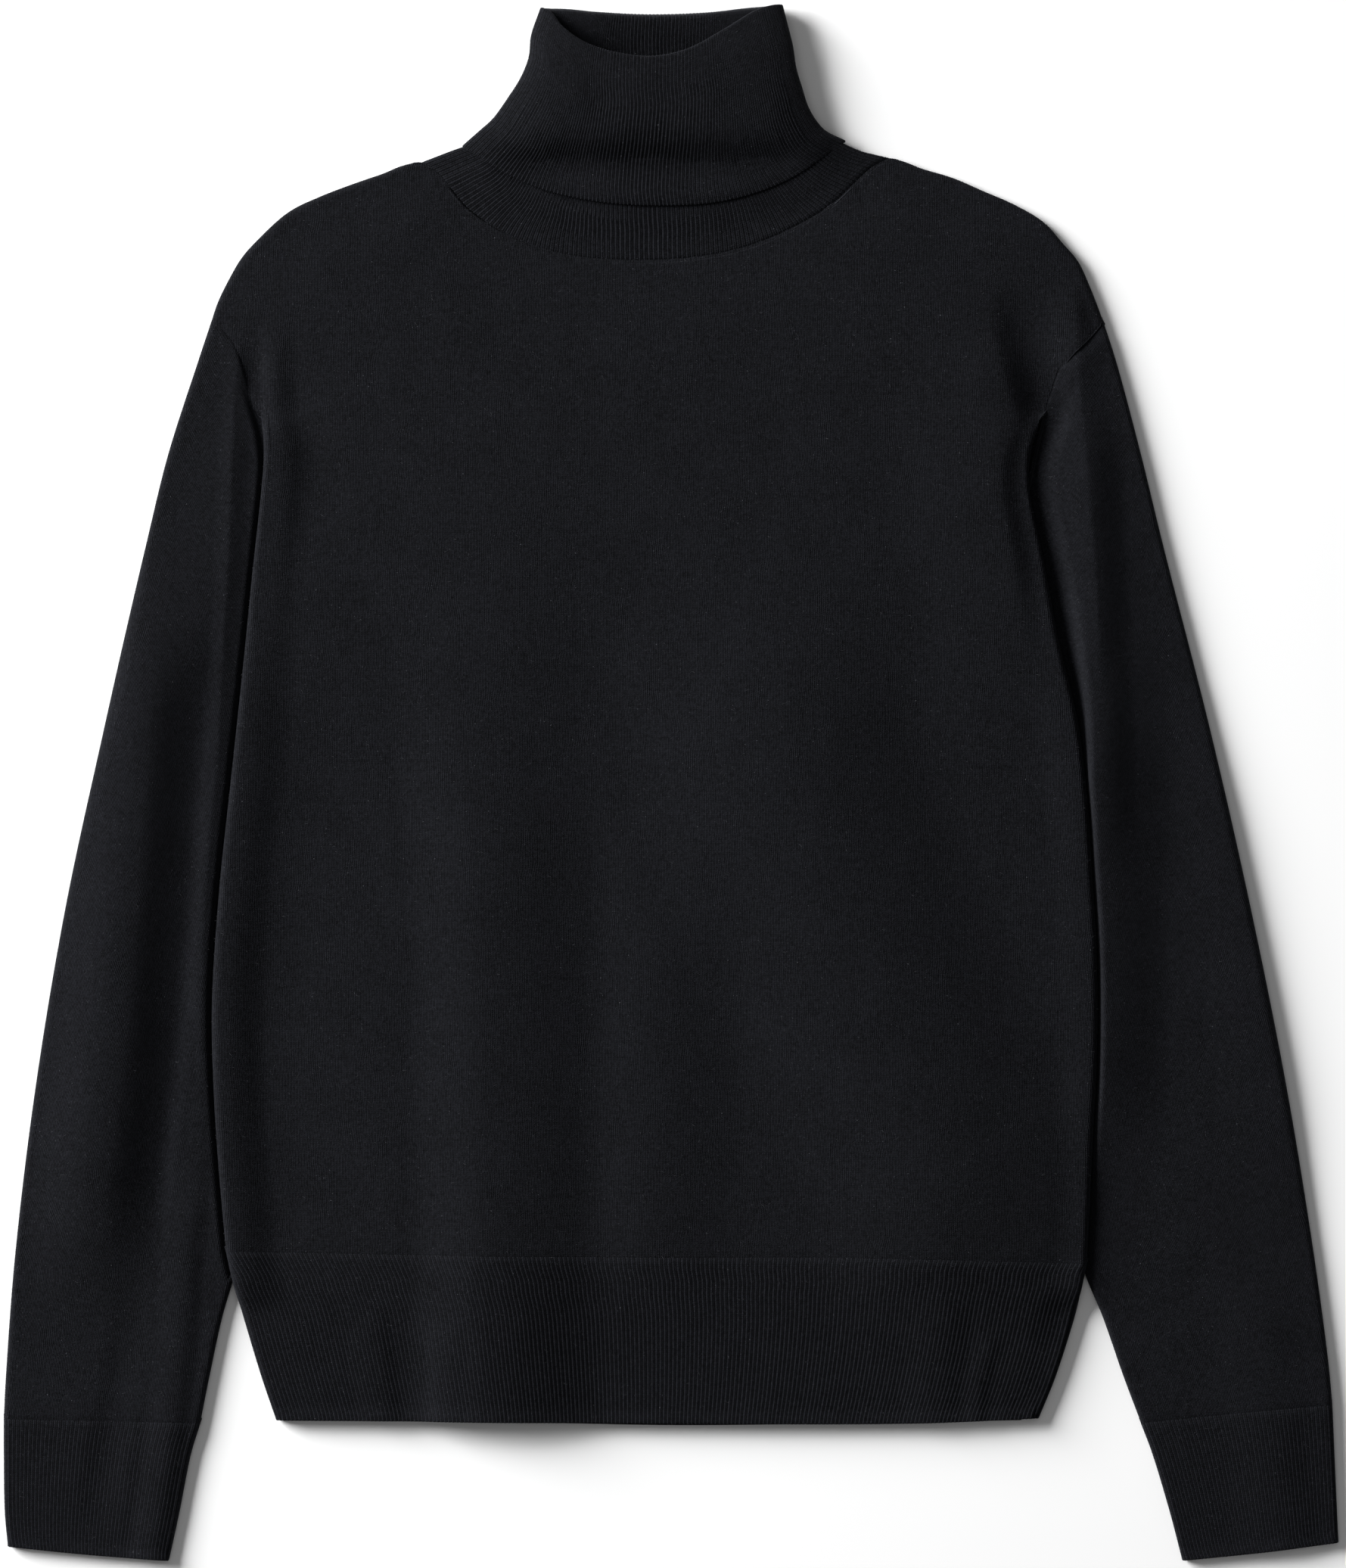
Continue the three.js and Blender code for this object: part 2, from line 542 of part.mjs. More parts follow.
// A flattened tube on the table, between the left and right borders of its patch
function tubeSurface(panel) {
  return (column, v) => {
    const nudge = (column.nudge || 0) * 0.01;
    const chain = sample((u) => panel(u, v), 8);
    const steps = chain.slice(1).map((p, i) => Math.hypot(p[0] - chain[i][0], p[1] - chain[i][1]));
    const length = steps.reduce((sum, step) => sum + step, 0);
    const radius = (right) => {
      const near = panel(right ? 1 - 3 / length : 3 / length, v);
      return (sleeveHeight(...near) - TABLE_LAYER) / 2;
    };
    const [left, right] = [radius(false), radius(true)];
    const starts = (HALF + left) / length;
    const ends = 1 - (HALF + right) / length;
    if (column.turn !== undefined) {
      const size = column.right ? right : left;
      const angle = THREE.MathUtils.degToRad(column.turn) + (column.right ? -1 : 1) * nudge;
      const off = (HALF + size * (1 - Math.cos(angle))) / length;
      const [x, y] = panel(column.right ? 1 - off : off, v);
      return new THREE.Vector3(x, y, TABLE_LAYER + size * (1 + Math.sin(angle)));
    }
    const [x, y] = panel(mix(starts, ends, clamp(column.across + (column.below ? -1 : 1) * nudge)), v);
    return new THREE.Vector3(x, y, column.below ? TABLE_LAYER : sleeveHeight(x, y));
  };
}

const BELOW = [1, 0.86, 0.72, 0.58, 0.44, 0.3, 0.15, 0]; // columns of the layer on the table

function tubeColumns(across) {
  const columns = [];
  for (let i = 0; i <= across; i++) columns.push({ across: i / across, rib: i });
  for (const turn of [50, 0, -50]) columns.push({ turn, right: true });
  for (const t of BELOW) columns.push({ across: t, below: true });
  for (const turn of [-50, 0, 50]) columns.push({ turn, right: false });
  const rest = columns.length - across;
  const place = (i) => (i <= across ? (0.5 * i) / across : 0.5 + (0.5 * (i - across)) / rest);
  return columns.map((column, i) => ({ ...column, place: place(i) }));
}

// Borders from left to right, whichever side of the body the sleeve is on
function sideBorders(side, outer, inner) {
  return side === "left" ? [curve(outer), curve(inner)] : [curve(inner), curve(outer)];
}

function leftToRight(side, points) {
  return side === "left" ? points : [...points].reverse();
}

function sleeveSurface(side, tables, armhole) {
  const seam = offsetPoints(armhole, side === "left" ? -ARM_GAP : ARM_GAP);
  const [left, right] = sideBorders(side, tables.outer, tables.inner);
  const [top, bottom] = [seam, tables.cuffSeam].map((points) => curve(leftToRight(side, points)));
  return tubeSurface(patch(top, bottom, left, right));
}

const sleeveSurfaces = {
  left: sleeveSurface("left", LEFT_SLEEVE, LEFT_ARMHOLE),
  right: sleeveSurface("right", RIGHT_SLEEVE, RIGHT_ARMHOLE),
};
const SLEEVE_ACROSS = 18;
const SLEEVE_ROWS = [
  0, 0.03, 0.07, 0.12, 0.17, 0.22, 0.28, 0.36, 0.45, 0.55, 0.65, 0.74, 0.81, 0.87, 0.93, 1,
];
const CUFF_PLAIN = 12; // columns of the inner face of a cuff

function sleeve(side) {
  const columns = tubeColumns(SLEEVE_ACROSS);
  return wallBody(sleeveSurfaces[side], SLEEVE_ROWS, columns, columns, true);
}

function cuff(side, tables) {
  const [left, right] = sideBorders(side, tables.cuffOuter, tables.cuffInner);
  const top = curve(leftToRight(side, tables.cuffSeam.map(lowered)));
  const panel = patch(top, curve(leftToRight(side, tables.cuffBottom)), left, right);
  const [ribbed, plain] = [tubeColumns(2 * CUFF_RIBS), tubeColumns(CUFF_PLAIN)];
  return wallBody(tubeSurface(panel), [0, 0.5, 1], ribbed, plain, true, raisedRib);
}

const STAND_RISE = 28; // distance from the neck seam over which the stand comes up

function standHeight(x, y) {
  const toNeck = nearest(neckChain, x, y).distance;
  return mix(SHOULDER, lookUp(COLLAR_HEIGHTS, y), ease(0, STAND_RISE, toNeck));
}

const NECK_GAP = 0.9; // the stand starts this far inside the neck seam
const CREST_TURN = 0.02; // share of the way along the collar in which the cloth turns over
const CREST_REACH = 0.85; // how far the turn stands out from the crest
const BACK_LANDS = [0.89, 1]; // the back of the stand comes down to the neck seam

// Collar: w is 0 at the neck seam, 1 at the crest and 2 at the turned-down edge, and c goes once round
// from the left
function collarSurface() {
  const raise = ([x, y]) => [x, y + NECK_GAP];
  const sides = {
    stand: [curve(STAND_LEFT), curve(STAND_RIGHT)],
    fold: [curve(FOLD_LEFT), curve(FOLD_RIGHT)],
  };
  const [front, back] = [curve(CREST_FRONT), curve(CREST_BACK)];
  const stand = {
    front: patch(front, curve(offsetPoints(NECK_SEAM, NECK_GAP)), ...sides.stand),
    back: patch(back, curve(BACK_NECK.map(raise)), ...sides.stand),
  };
  const fold = {
    front: patch(front, curve(FOLD_FRONT_EDGE), ...sides.fold),
    back: patch(back, curve(FOLD_BACK_EDGE), ...sides.fold),
  };
  return (column, w) => {
    const c = (column.c + (column.nudge || 0) * 1e-4 + 1) % 1;
    const half = c > 0.5 ? "back" : "front";
    const across = c > 0.5 ? 2 * (1 - c) : 2 * c;
    const phase = clamp((w - 1 + CREST_TURN) / (2 * CREST_TURN)) * Math.PI;
    const turned = (1 - Math.cos(phase)) / 2;
    const down = Math.max(0, Math.abs(w - 1) - CREST_TURN) / (1 - CREST_TURN);
    const [downStand, downFold] = w < 1 ? [down, 0] : [0, down];
    const [x, yFull] = mixPoint(stand[half](across, downStand), fold[half](across, downFold), turned);
    const y = yFull - (HALF + CREST_REACH * (1 - Math.sin(phase))) * (1 - down);
    const top = standHeight(x, y) + FOLD_LIFT * turned;
    const standBottom = mix(STAND_BACK, TABLE_LAYER, ease(...BACK_LANDS, downStand));
    const bottom = mix(standBottom, TABLE_LAYER, turned);
    const flatness = (1 - Math.abs(2 * across - 1) ** 4) ** 0.25;
    const sign = half === "front" ? 1 : -1;
    return new THREE.Vector3(x, y, (top + bottom) / 2 + (sign * flatness * (top - bottom)) / 2);
  };
}

const COLLAR_SIDE = [0.0008, 0.003, 0.008, 0.02]; // columns close to each side fold
const COLLAR_PLAIN = 14; // columns of a face without ribs

function collarColumns(frontCount, ribbed) {
  const front = [];
  for (let i = 0; i <= frontCount; i++) {
    front.push({ c: mix(0.02, 0.48, i / frontCount), rib: ribbed ? i : 0 });
  }
  const rest = [];
  for (const s of [...COLLAR_SIDE].reverse().slice(1)) rest.push({ c: 0.5 - s });
  for (const s of COLLAR_SIDE) rest.push({ c: 0.5 + s });
  for (let i = 1; i < 7; i++) rest.push({ c: mix(0.52, 0.98, i / 7) });
  for (const s of [...COLLAR_SIDE].reverse()) rest.push({ c: 1 - s });
  const lead = COLLAR_SIDE.slice(0, -1).map((s) => ({ c: s }));
  return [...lead, ...front, ...rest].map((column) => ({ ...column, place: column.c }));
}

const collarShape = collarSurface();
const STAND_ROWS = [0.002, 0.16, 0.32, 0.5, 0.66, 0.82, 0.96];
const CREST_ROWS = [0.985, 1, 1.015];
const FOLD_ROWS = [1.04, 1.35, 1.68, 1.998];
const RIBBED_STAND_ROWS = 3; // only these show under the turned-down edge

function collar() {
  const plain = collarColumns(COLLAR_PLAIN, false);
  const foldRibs = collarColumns(2 * FOLD_RIBS, true);
  const standRibs = collarColumns(2 * STAND_RIBS, true);
  const body = new Body();
  const face = (rows, columns, distance, raise) => {
    const places = columns.map((column) => column.place);
    return rows.map((w) => body.row(movedRow(collarShape, columns, w, distance, raise), places));
  };
  const inside = [
    ...face([...STAND_ROWS, ...CREST_ROWS], plain, HALF),
    ...face(FOLD_ROWS, foldRibs, HALF, raisedRib),
  ];
  const outside = [
    ...face(STAND_ROWS.slice(0, RIBBED_STAND_ROWS), standRibs, -HALF, raisedRib),
    ...face([...STAND_ROWS.slice(RIBBED_STAND_ROWS), ...CREST_ROWS, ...FOLD_ROWS], plain, -HALF),
  ];
  return body.wall(inside, outside, true).geometry();
}

// A flat piece on the table from the outline of its edge
function flatPiece(outline) {
  const shape = new THREE.Shape(outline.map(([x, y]) => new THREE.Vector2(x, y)));
  return new THREE.ExtrudeGeometry(shape, { depth: CLOTH, bevelEnabled: false });
}

const planOf = (point) => [point.x, point.y];

// Ends of the tucks of the front and its hem, which the back pieces meet
function tuckEnds(side, surface, rows) {
  const ends = rows.map((v) => planOf(surface({ side, k: 0 }, v))).filter(([, y]) => y < 34);
  return ends.map(([x, y]) => [x - SIDE[side] * SEAM, y]);
}

// Back of the body: it meets the sleeves, the rolled shoulders, the collar and the tucks point by point
function backPanel() {
  const armhole = (side) => {
    const ends = side === "left" ? BELOW : [...BELOW].reverse();
    const points = ends.map((across) => planOf(sleeveSurfaces[side]({ across, below: true }, 0)));
    const underarm = side === "left" ? LEFT_ARMHOLE.at(-1) : RIGHT_ARMHOLE.at(-1);
    return offsetPoints([underarm, ...points], side === "left" ? -2 * SEAM : 2 * SEAM).slice(0, -1);
  };
  const shoulderColumns = frontColumns(FRONT_MIDDLE).slice(EDGE_COUNT - 2, 2 - EDGE_COUNT);
  const curled = shoulderColumns.map((column) => planOf(shoulderCurl(column, -4)));
  const leftShoulder = offsetPoints(curled.filter(([x]) => x < LEFT_NECK_POINT[0]), -SEAM);
  const rightShoulder = offsetPoints(curled.filter(([x]) => x > RIGHT_NECK_POINT[0]), -SEAM);
  const backColumns = collarColumns(COLLAR_PLAIN, false).filter(({ c }) => c > 0.52 && c < 0.98);
  const base = backColumns.map((column) => planOf(collarShape(column, 0)));
  const neck = base.reverse().map(([x, y]) => [x, y - NECK_GAP]);
  const leftSide = [...tuckEnds("left", frontBelow, FLAT_ROWS).reverse(), ...armhole("left")];
  const rightSide = [...armhole("right").reverse(), ...tuckEnds("right", frontBelow, FLAT_ROWS)];
  return flatPiece([...leftSide, ...leftShoulder, ...neck, ...rightShoulder, ...rightSide]);
}

const HEM_BACK_MIDDLE = [0, -317.6]; // lowest point of the back hem

function backHem() {
  const [left, right] = [tuckEnds("left", hemSurface, HEM_ROWS), tuckEnds("right", hemSurface, HEM_ROWS)];
  return flatPiece([...left, HEM_BACK_MIDDLE, ...right.reverse()]);
}

function knit(name, geometry, color) {
  const wool = new THREE.MeshStandardMaterial({ color, roughness: 0.95, metalness: 0 });
  const mesh = new THREE.Mesh(geometry, wool);
  mesh.name = name;
  return mesh;
}

const JERSEY = "#17181c";
const RIB = "#15161a";
const group = new THREE.Group();
group.add(
  knit("back_panel", backPanel(), JERSEY),
  knit("hem_rib_back", backHem(), RIB),
  knit("front_panel", frontPanel(), JERSEY),
  knit("hem_rib_front", frontHem(), RIB),
  knit("sleeve_left", sleeve("left"), JERSEY),
  knit("sleeve_right", sleeve("right"), JERSEY),
  knit("cuff_left", cuff("left", LEFT_SLEEVE), RIB),
  knit("cuff_right", cuff("right", RIGHT_SLEEVE), RIB),
  knit("collar", collar(), RIB),
);

export default group;
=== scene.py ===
# Black fine-knit turtleneck sweater laid flat on its back and seen from straight above.
# Lengths are millimetres until a mesh is made. +X is the viewer's right, +Y runs from hem to neck, +Z is up.
import math

import bpy
import numpy as np
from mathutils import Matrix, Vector


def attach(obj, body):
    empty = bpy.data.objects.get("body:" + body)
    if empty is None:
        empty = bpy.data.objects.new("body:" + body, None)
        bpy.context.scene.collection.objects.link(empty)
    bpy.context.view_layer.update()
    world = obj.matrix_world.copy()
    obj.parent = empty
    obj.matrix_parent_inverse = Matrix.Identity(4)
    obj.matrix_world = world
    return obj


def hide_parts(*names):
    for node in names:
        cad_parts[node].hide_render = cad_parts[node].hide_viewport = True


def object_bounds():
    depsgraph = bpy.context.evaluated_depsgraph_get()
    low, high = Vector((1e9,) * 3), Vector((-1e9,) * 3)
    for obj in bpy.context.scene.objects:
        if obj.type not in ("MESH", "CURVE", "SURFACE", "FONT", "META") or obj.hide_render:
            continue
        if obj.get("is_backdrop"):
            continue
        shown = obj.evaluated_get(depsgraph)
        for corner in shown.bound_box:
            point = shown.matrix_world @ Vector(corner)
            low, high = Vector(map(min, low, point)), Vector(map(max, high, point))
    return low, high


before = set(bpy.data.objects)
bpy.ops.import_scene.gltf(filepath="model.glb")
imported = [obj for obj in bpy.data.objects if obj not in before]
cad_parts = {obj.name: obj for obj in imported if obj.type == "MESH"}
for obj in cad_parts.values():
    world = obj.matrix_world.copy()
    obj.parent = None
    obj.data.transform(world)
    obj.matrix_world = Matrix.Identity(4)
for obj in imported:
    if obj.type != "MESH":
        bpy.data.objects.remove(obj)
cad_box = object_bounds()

# Cloth and the heights of the middle of each wall above the table
CLOTH = 1.2
HALF = CLOTH / 2
TABLE_LAYER = HALF
TUCKED_SLEEVE = 2.4
TUCK = 4.1
SHOULDER = 4.9
BODY = 6.5
HEM_EDGE = 5.9
CUFF_EDGE = 4.1
SLEEVE = 4.9
SEAM_DIP = 0.2  # how far both edges sink into a sewn seam

# Knit
WALE = 1.6  # width of one column of stitches
COURSE = 1.07  # height of one row of stitches
HEM_RIB = 2.12
CUFF_RIB = 1.9
COLLAR_RIB = 1.95
STAND_RIB = 2.35
COLLAR_RIB_DEPTH = 0.5
HEM_RIB_DEPTH = 0.3
CUFF_RIB_DEPTH = 0.2
WELT_CURL = 0.9  # how far the last rows of the hem curl up
CUFF_CURL = 0.8 * WELT_CURL

# Shape of the front: its height grows from the seams and edges inward
CROWN = 1.2
CROWN_RISE = (20, 150)
EDGE_RISE = 42
FOLDS_BEGIN = 14
NECK_END_DIP = 0.4
NECK_END_REACH = 16
TUCK_CLEARANCE = 0.15
TUCK_REACH = 14  # how far past the end of the tuck the front is kept above it
EDGE_FLAT = 3.4  # width of the top of a rolled edge

# Stretches of the height of the photograph, as y, in which a form begins or ends
ROLL_BEGINS = (160, 188)
SLEEVE_GOES_UNDER = (176, 204)
SLEEVE_COMES_OUT = (-270, -247)
TUCK_COMES_DOWN = (-264, -248)
HEM_STRETCH = (-316, -240)
HEM_RISE = (-322, -225)
CUFF_RISE = (-390, -300)
SLEEVE_OPENS = (-10, 90)  # where the right sleeve comes out from under the front in an open curve

# Radius of the rolled side edges: at the hem, above it, and by how much and where it thins
ROLL_AT_HEM = 2.4
ROLL_ABOVE = {"left": 3.2, "right": 2.6}
ROLL_THINS = {"left": (0.6, 20, 110), "right": (1.1, 40, 140)}

# Outline of the front as (x, y), every list from left to right or from neck to hem
LEFT_ARM_POINT = (-228.5, 227)
RIGHT_ARM_POINT = (214.5, 228)
LEFT_NECK_POINT = (-122.5, 307.5)
RIGHT_NECK_POINT = (107, 309.5)
LEFT_SHOULDER = [
    LEFT_ARM_POINT, (-225, 237.5), (-220, 248), (-213, 260), (-205, 269), (-190, 282.5), (-175, 290),
    (-145, 301), LEFT_NECK_POINT,
]
NECK_SEAM = [
    LEFT_NECK_POINT, (-99, 283.5), (-59.5, 264), (-9, 259.5), (35, 265.5), (74.5, 283.5), RIGHT_NECK_POINT,
]
RIGHT_SHOULDER = [
    RIGHT_NECK_POINT, (125, 304), (140, 299.5), (155, 293), (170, 286.5), (185, 277.5), (194, 267.5),
    (202, 258), (208, 245), (211, 237.5), RIGHT_ARM_POINT,
]
LEFT_BODY_EDGE = [
    LEFT_ARM_POINT, (-222.5, 223.6), (-217.6, 218), (-214.4, 210.5), (-211.6, 200), (-208.5, 189),
    (-204, 174), (-202, 159), (-203, 144), (-207.5, 102.5), (-212, 57.5), (-218, 1.5), (-224, -55),
    (-227.5, -111), (-226.5, -156), (-224, -193.5), (-220.5, -232.5),
]
RIGHT_BODY_EDGE = [
    RIGHT_ARM_POINT, (207.5, 220), (200, 212.5), (194, 204.5), (190, 194.5), (185, 177.5), (178, 159),
    (177.5, 144), (185, 106.5), (192, 69), (201, 31.5), (206, -6), (208.5, -43.5), (211, -88.5),
    (211, -137.5), (209, -175), (206, -238.5),
]
HEM_SEAM = [(-220.5, -232.5), (-107, -234.5), (0, -235.5), (117.5, -236), (206, -238.5)]
LEFT_HEM_EDGE = [(-220.5, -232.5), (-217.5, -246), (-212, -265), (-203, -295), (-196, -315.5)]
RIGHT_HEM_EDGE = [(206, -238.5), (204, -248), (200, -265), (190.5, -295), (182.5, -314.5)]
HEM_BOTTOM = [(-196, -315.5), (-107.5, -316), (0, -317), (117.5, -317), (182.5, -314.5)]

# Sleeves and cuffs
ARMHOLES = {
    "left": [
        *LEFT_BODY_EDGE[:6], (-200.5, 172), (-192, 144), (-182.5, 110), (-171.5, 72.5), (-162, 48),
    ],
    "right": [
        *RIGHT_BODY_EDGE[:5], (184, 174), (178, 147.5), (170.5, 114), (161.5, 76.5), (155, 48),
    ],
}
LEFT_SLEEVE = {
    "outer": [
        LEFT_ARM_POINT, (-235, 207.5), (-249.5, 162.5), (-260.5, 117.5), (-281, 27.5), (-300.5, -62.5),
        (-315.5, -152.5), (-325.5, -235), (-330, -295), (-331, -315.5),
    ],
    "inner": [
        (-162, 48), (-167, 12.5), (-173.5, -36), (-182.5, -88.5), (-194, -145), (-206, -197.5),
        (-213, -227.5), (-217, -246), (-222.5, -265), (-229, -295), (-233.5, -317.5),
    ],
    "cuff_seam": [(-331, -315.5), (-282, -316.5), (-233.5, -317.5)],
    "cuff_outer": [(-331, -316), (-331, -332.5), (-330.5, -362.5), (-329, -378.5)],
    "cuff_inner": [(-233.5, -318), (-238, -332.5), (-244, -362.5), (-249, -385.5)],
    "cuff_bottom": [(-329, -378.5), (-289, -382.5), (-249, -385.5)],
}
RIGHT_SLEEVE = {
    "outer": [
        RIGHT_ARM_POINT, (221, 207.5), (233, 162.5), (244, 117.5), (267, 27.5), (287.5, -62.5),
        (305.5, -152.5), (319, -235), (326, -287.5), (328, -308.5),
    ],
    "inner": [
        (155, 48), (159.5, 12.5), (165.5, -36), (173.5, -88.5), (184, -145), (195.5, -197.5),
        (201.5, -227.5), (205, -243), (214, -265), (224.5, -295), (233, -317.5),
    ],
    "cuff_seam": [(328, -308.5), (276, -313), (233, -317.5)],
    "cuff_outer": [(328, -309), (329, -332.5), (330, -355), (331, -376.5)],
    "cuff_inner": [(233, -318), (238.5, -332.5), (247.5, -362.5), (253.5, -385.5)],
    "cuff_bottom": [(331, -376.5), (292, -381.5), (253.5, -385.5)],
}
SLEEVES = {"left": LEFT_SLEEVE, "right": RIGHT_SLEEVE}

# Where the cloth that is folded under each side edge ends, from neck to hem
TUCK_END = {
    "left": [
        (-208, 190), (-200, 172), (-191.5, 144), (-182, 110), (-171, 72.5), (-162, 50), (-156, 30),
        (-159, 12.5), (-165.5, -36), (-174.5, -88.5), (-186, -145), (-198, -197.5), (-205, -227.5),
        (-209, -246), (-204, -265), (-195, -295), (-188, -316),
    ],
    "right": [
        (190, 194), (183.5, 172), (177, 144), (169.5, 112), (160.5, 75), (155, 50), (149, 30),
        (151.5, 12.5), (157.5, -36), (165.5, -88.5), (176, -145), (187.5, -197.5), (193.5, -227.5),
        (197, -243), (192, -265), (182.5, -295), (174.5, -316),
    ],
}

# Collar: a ribbed tube that rises from the neck seam and is folded down outside
BACK_NECK = [LEFT_NECK_POINT, (-60, 298), (-9, 295.5), (45, 298), RIGHT_NECK_POINT]
CREST_FRONT = [
    (-64.5, 384), (-61, 382.5), (-55, 375), (-44, 367), (-28, 361.5), (-9, 359.5), (8, 363),
    (27.5, 373.5), (41.5, 382), (50, 385), (55, 385.5),
]
CREST_BACK = [
    (-64.5, 384), (-52, 383.8), (-38, 382.5), (-10, 381.2), (20, 382.3), (38, 384.3), (55, 385.5),
]
FOLD_LEFT = [
    (-64.5, 384), (-69, 370.5), (-70, 360), (-74, 349.5), (-80.5, 339), (-88, 328.5), (-94, 323), (-103, 315),
]
FOLD_RIGHT = [
    (55, 385.5), (57.5, 375.5), (60, 365), (61.5, 354.5), (64.5, 344), (68, 333.5), (75.5, 323), (86, 317.5),
]
FOLD_FRONT_EDGE = [
    (-103, 315), (-70, 296.5), (-40, 288.5), (-5.5, 286), (27.5, 288.5), (57.5, 298.5), (86, 317.5),
]
FOLD_BACK_EDGE = [(-103, 315), (-60, 309.5), (-9, 308), (45, 310), (86, 317.5)]
STAND_LEFT = [
    (-62.5, 382.5), (-66.7, 370.5), (-67.7, 360), (-71.5, 350), (-78, 339.5), (-85, 329.5), (-91, 323.5),
    (-100, 316), (-110, 312), (-122.3, 307.2),
]
STAND_RIGHT = [
    (53, 384), (55.2, 375), (57.7, 365), (59.2, 354.5), (62, 344), (65.5, 334), (73, 323.5), (84, 317),
    (94, 312.5), (106.8, 309.2),
]
FOLD_LIFT = 1.7  # turned-down cloth above the stand
STAND_BACK = 2.3  # back of the stand, above the turned-down back
CREST_TURN = 0.02  # share of the way along the collar in which the cloth turns over
FOLD_GROOVE = 0.8  # how far the stand sinks under the turned-down edge
FOLD_GROOVE_WIDTH = 1.7
FOLD_EDGE_DROP = (0.3, 0.6)  # how far the turned-down edge sinks at its left and at its right
COLLAR_RISE = 28  # distance from the neck seam at which the collar has its full height
COLLAR_MIDDLE = -5
COLLAR_SLOPES = (52, 92)  # distances from the middle between which the sides slope down
COLLAR_HEIGHTS = [
    (262, 5.4), (280, 6.8), (290, 7.2), (297, 6.8), (303, 6.5), (308, 7.2), (313, 10.4), (318, 13.4),
    (324, 14.8), (335, 15.2), (350, 15.4), (365, 15), (386, 12.6),
]  # y and the height of the top of the stand in the middle
COLLAR_SIDES = [(262, 5.4), (310, 8.6), (345, 11.6), (386, 12)]  # and at its sides

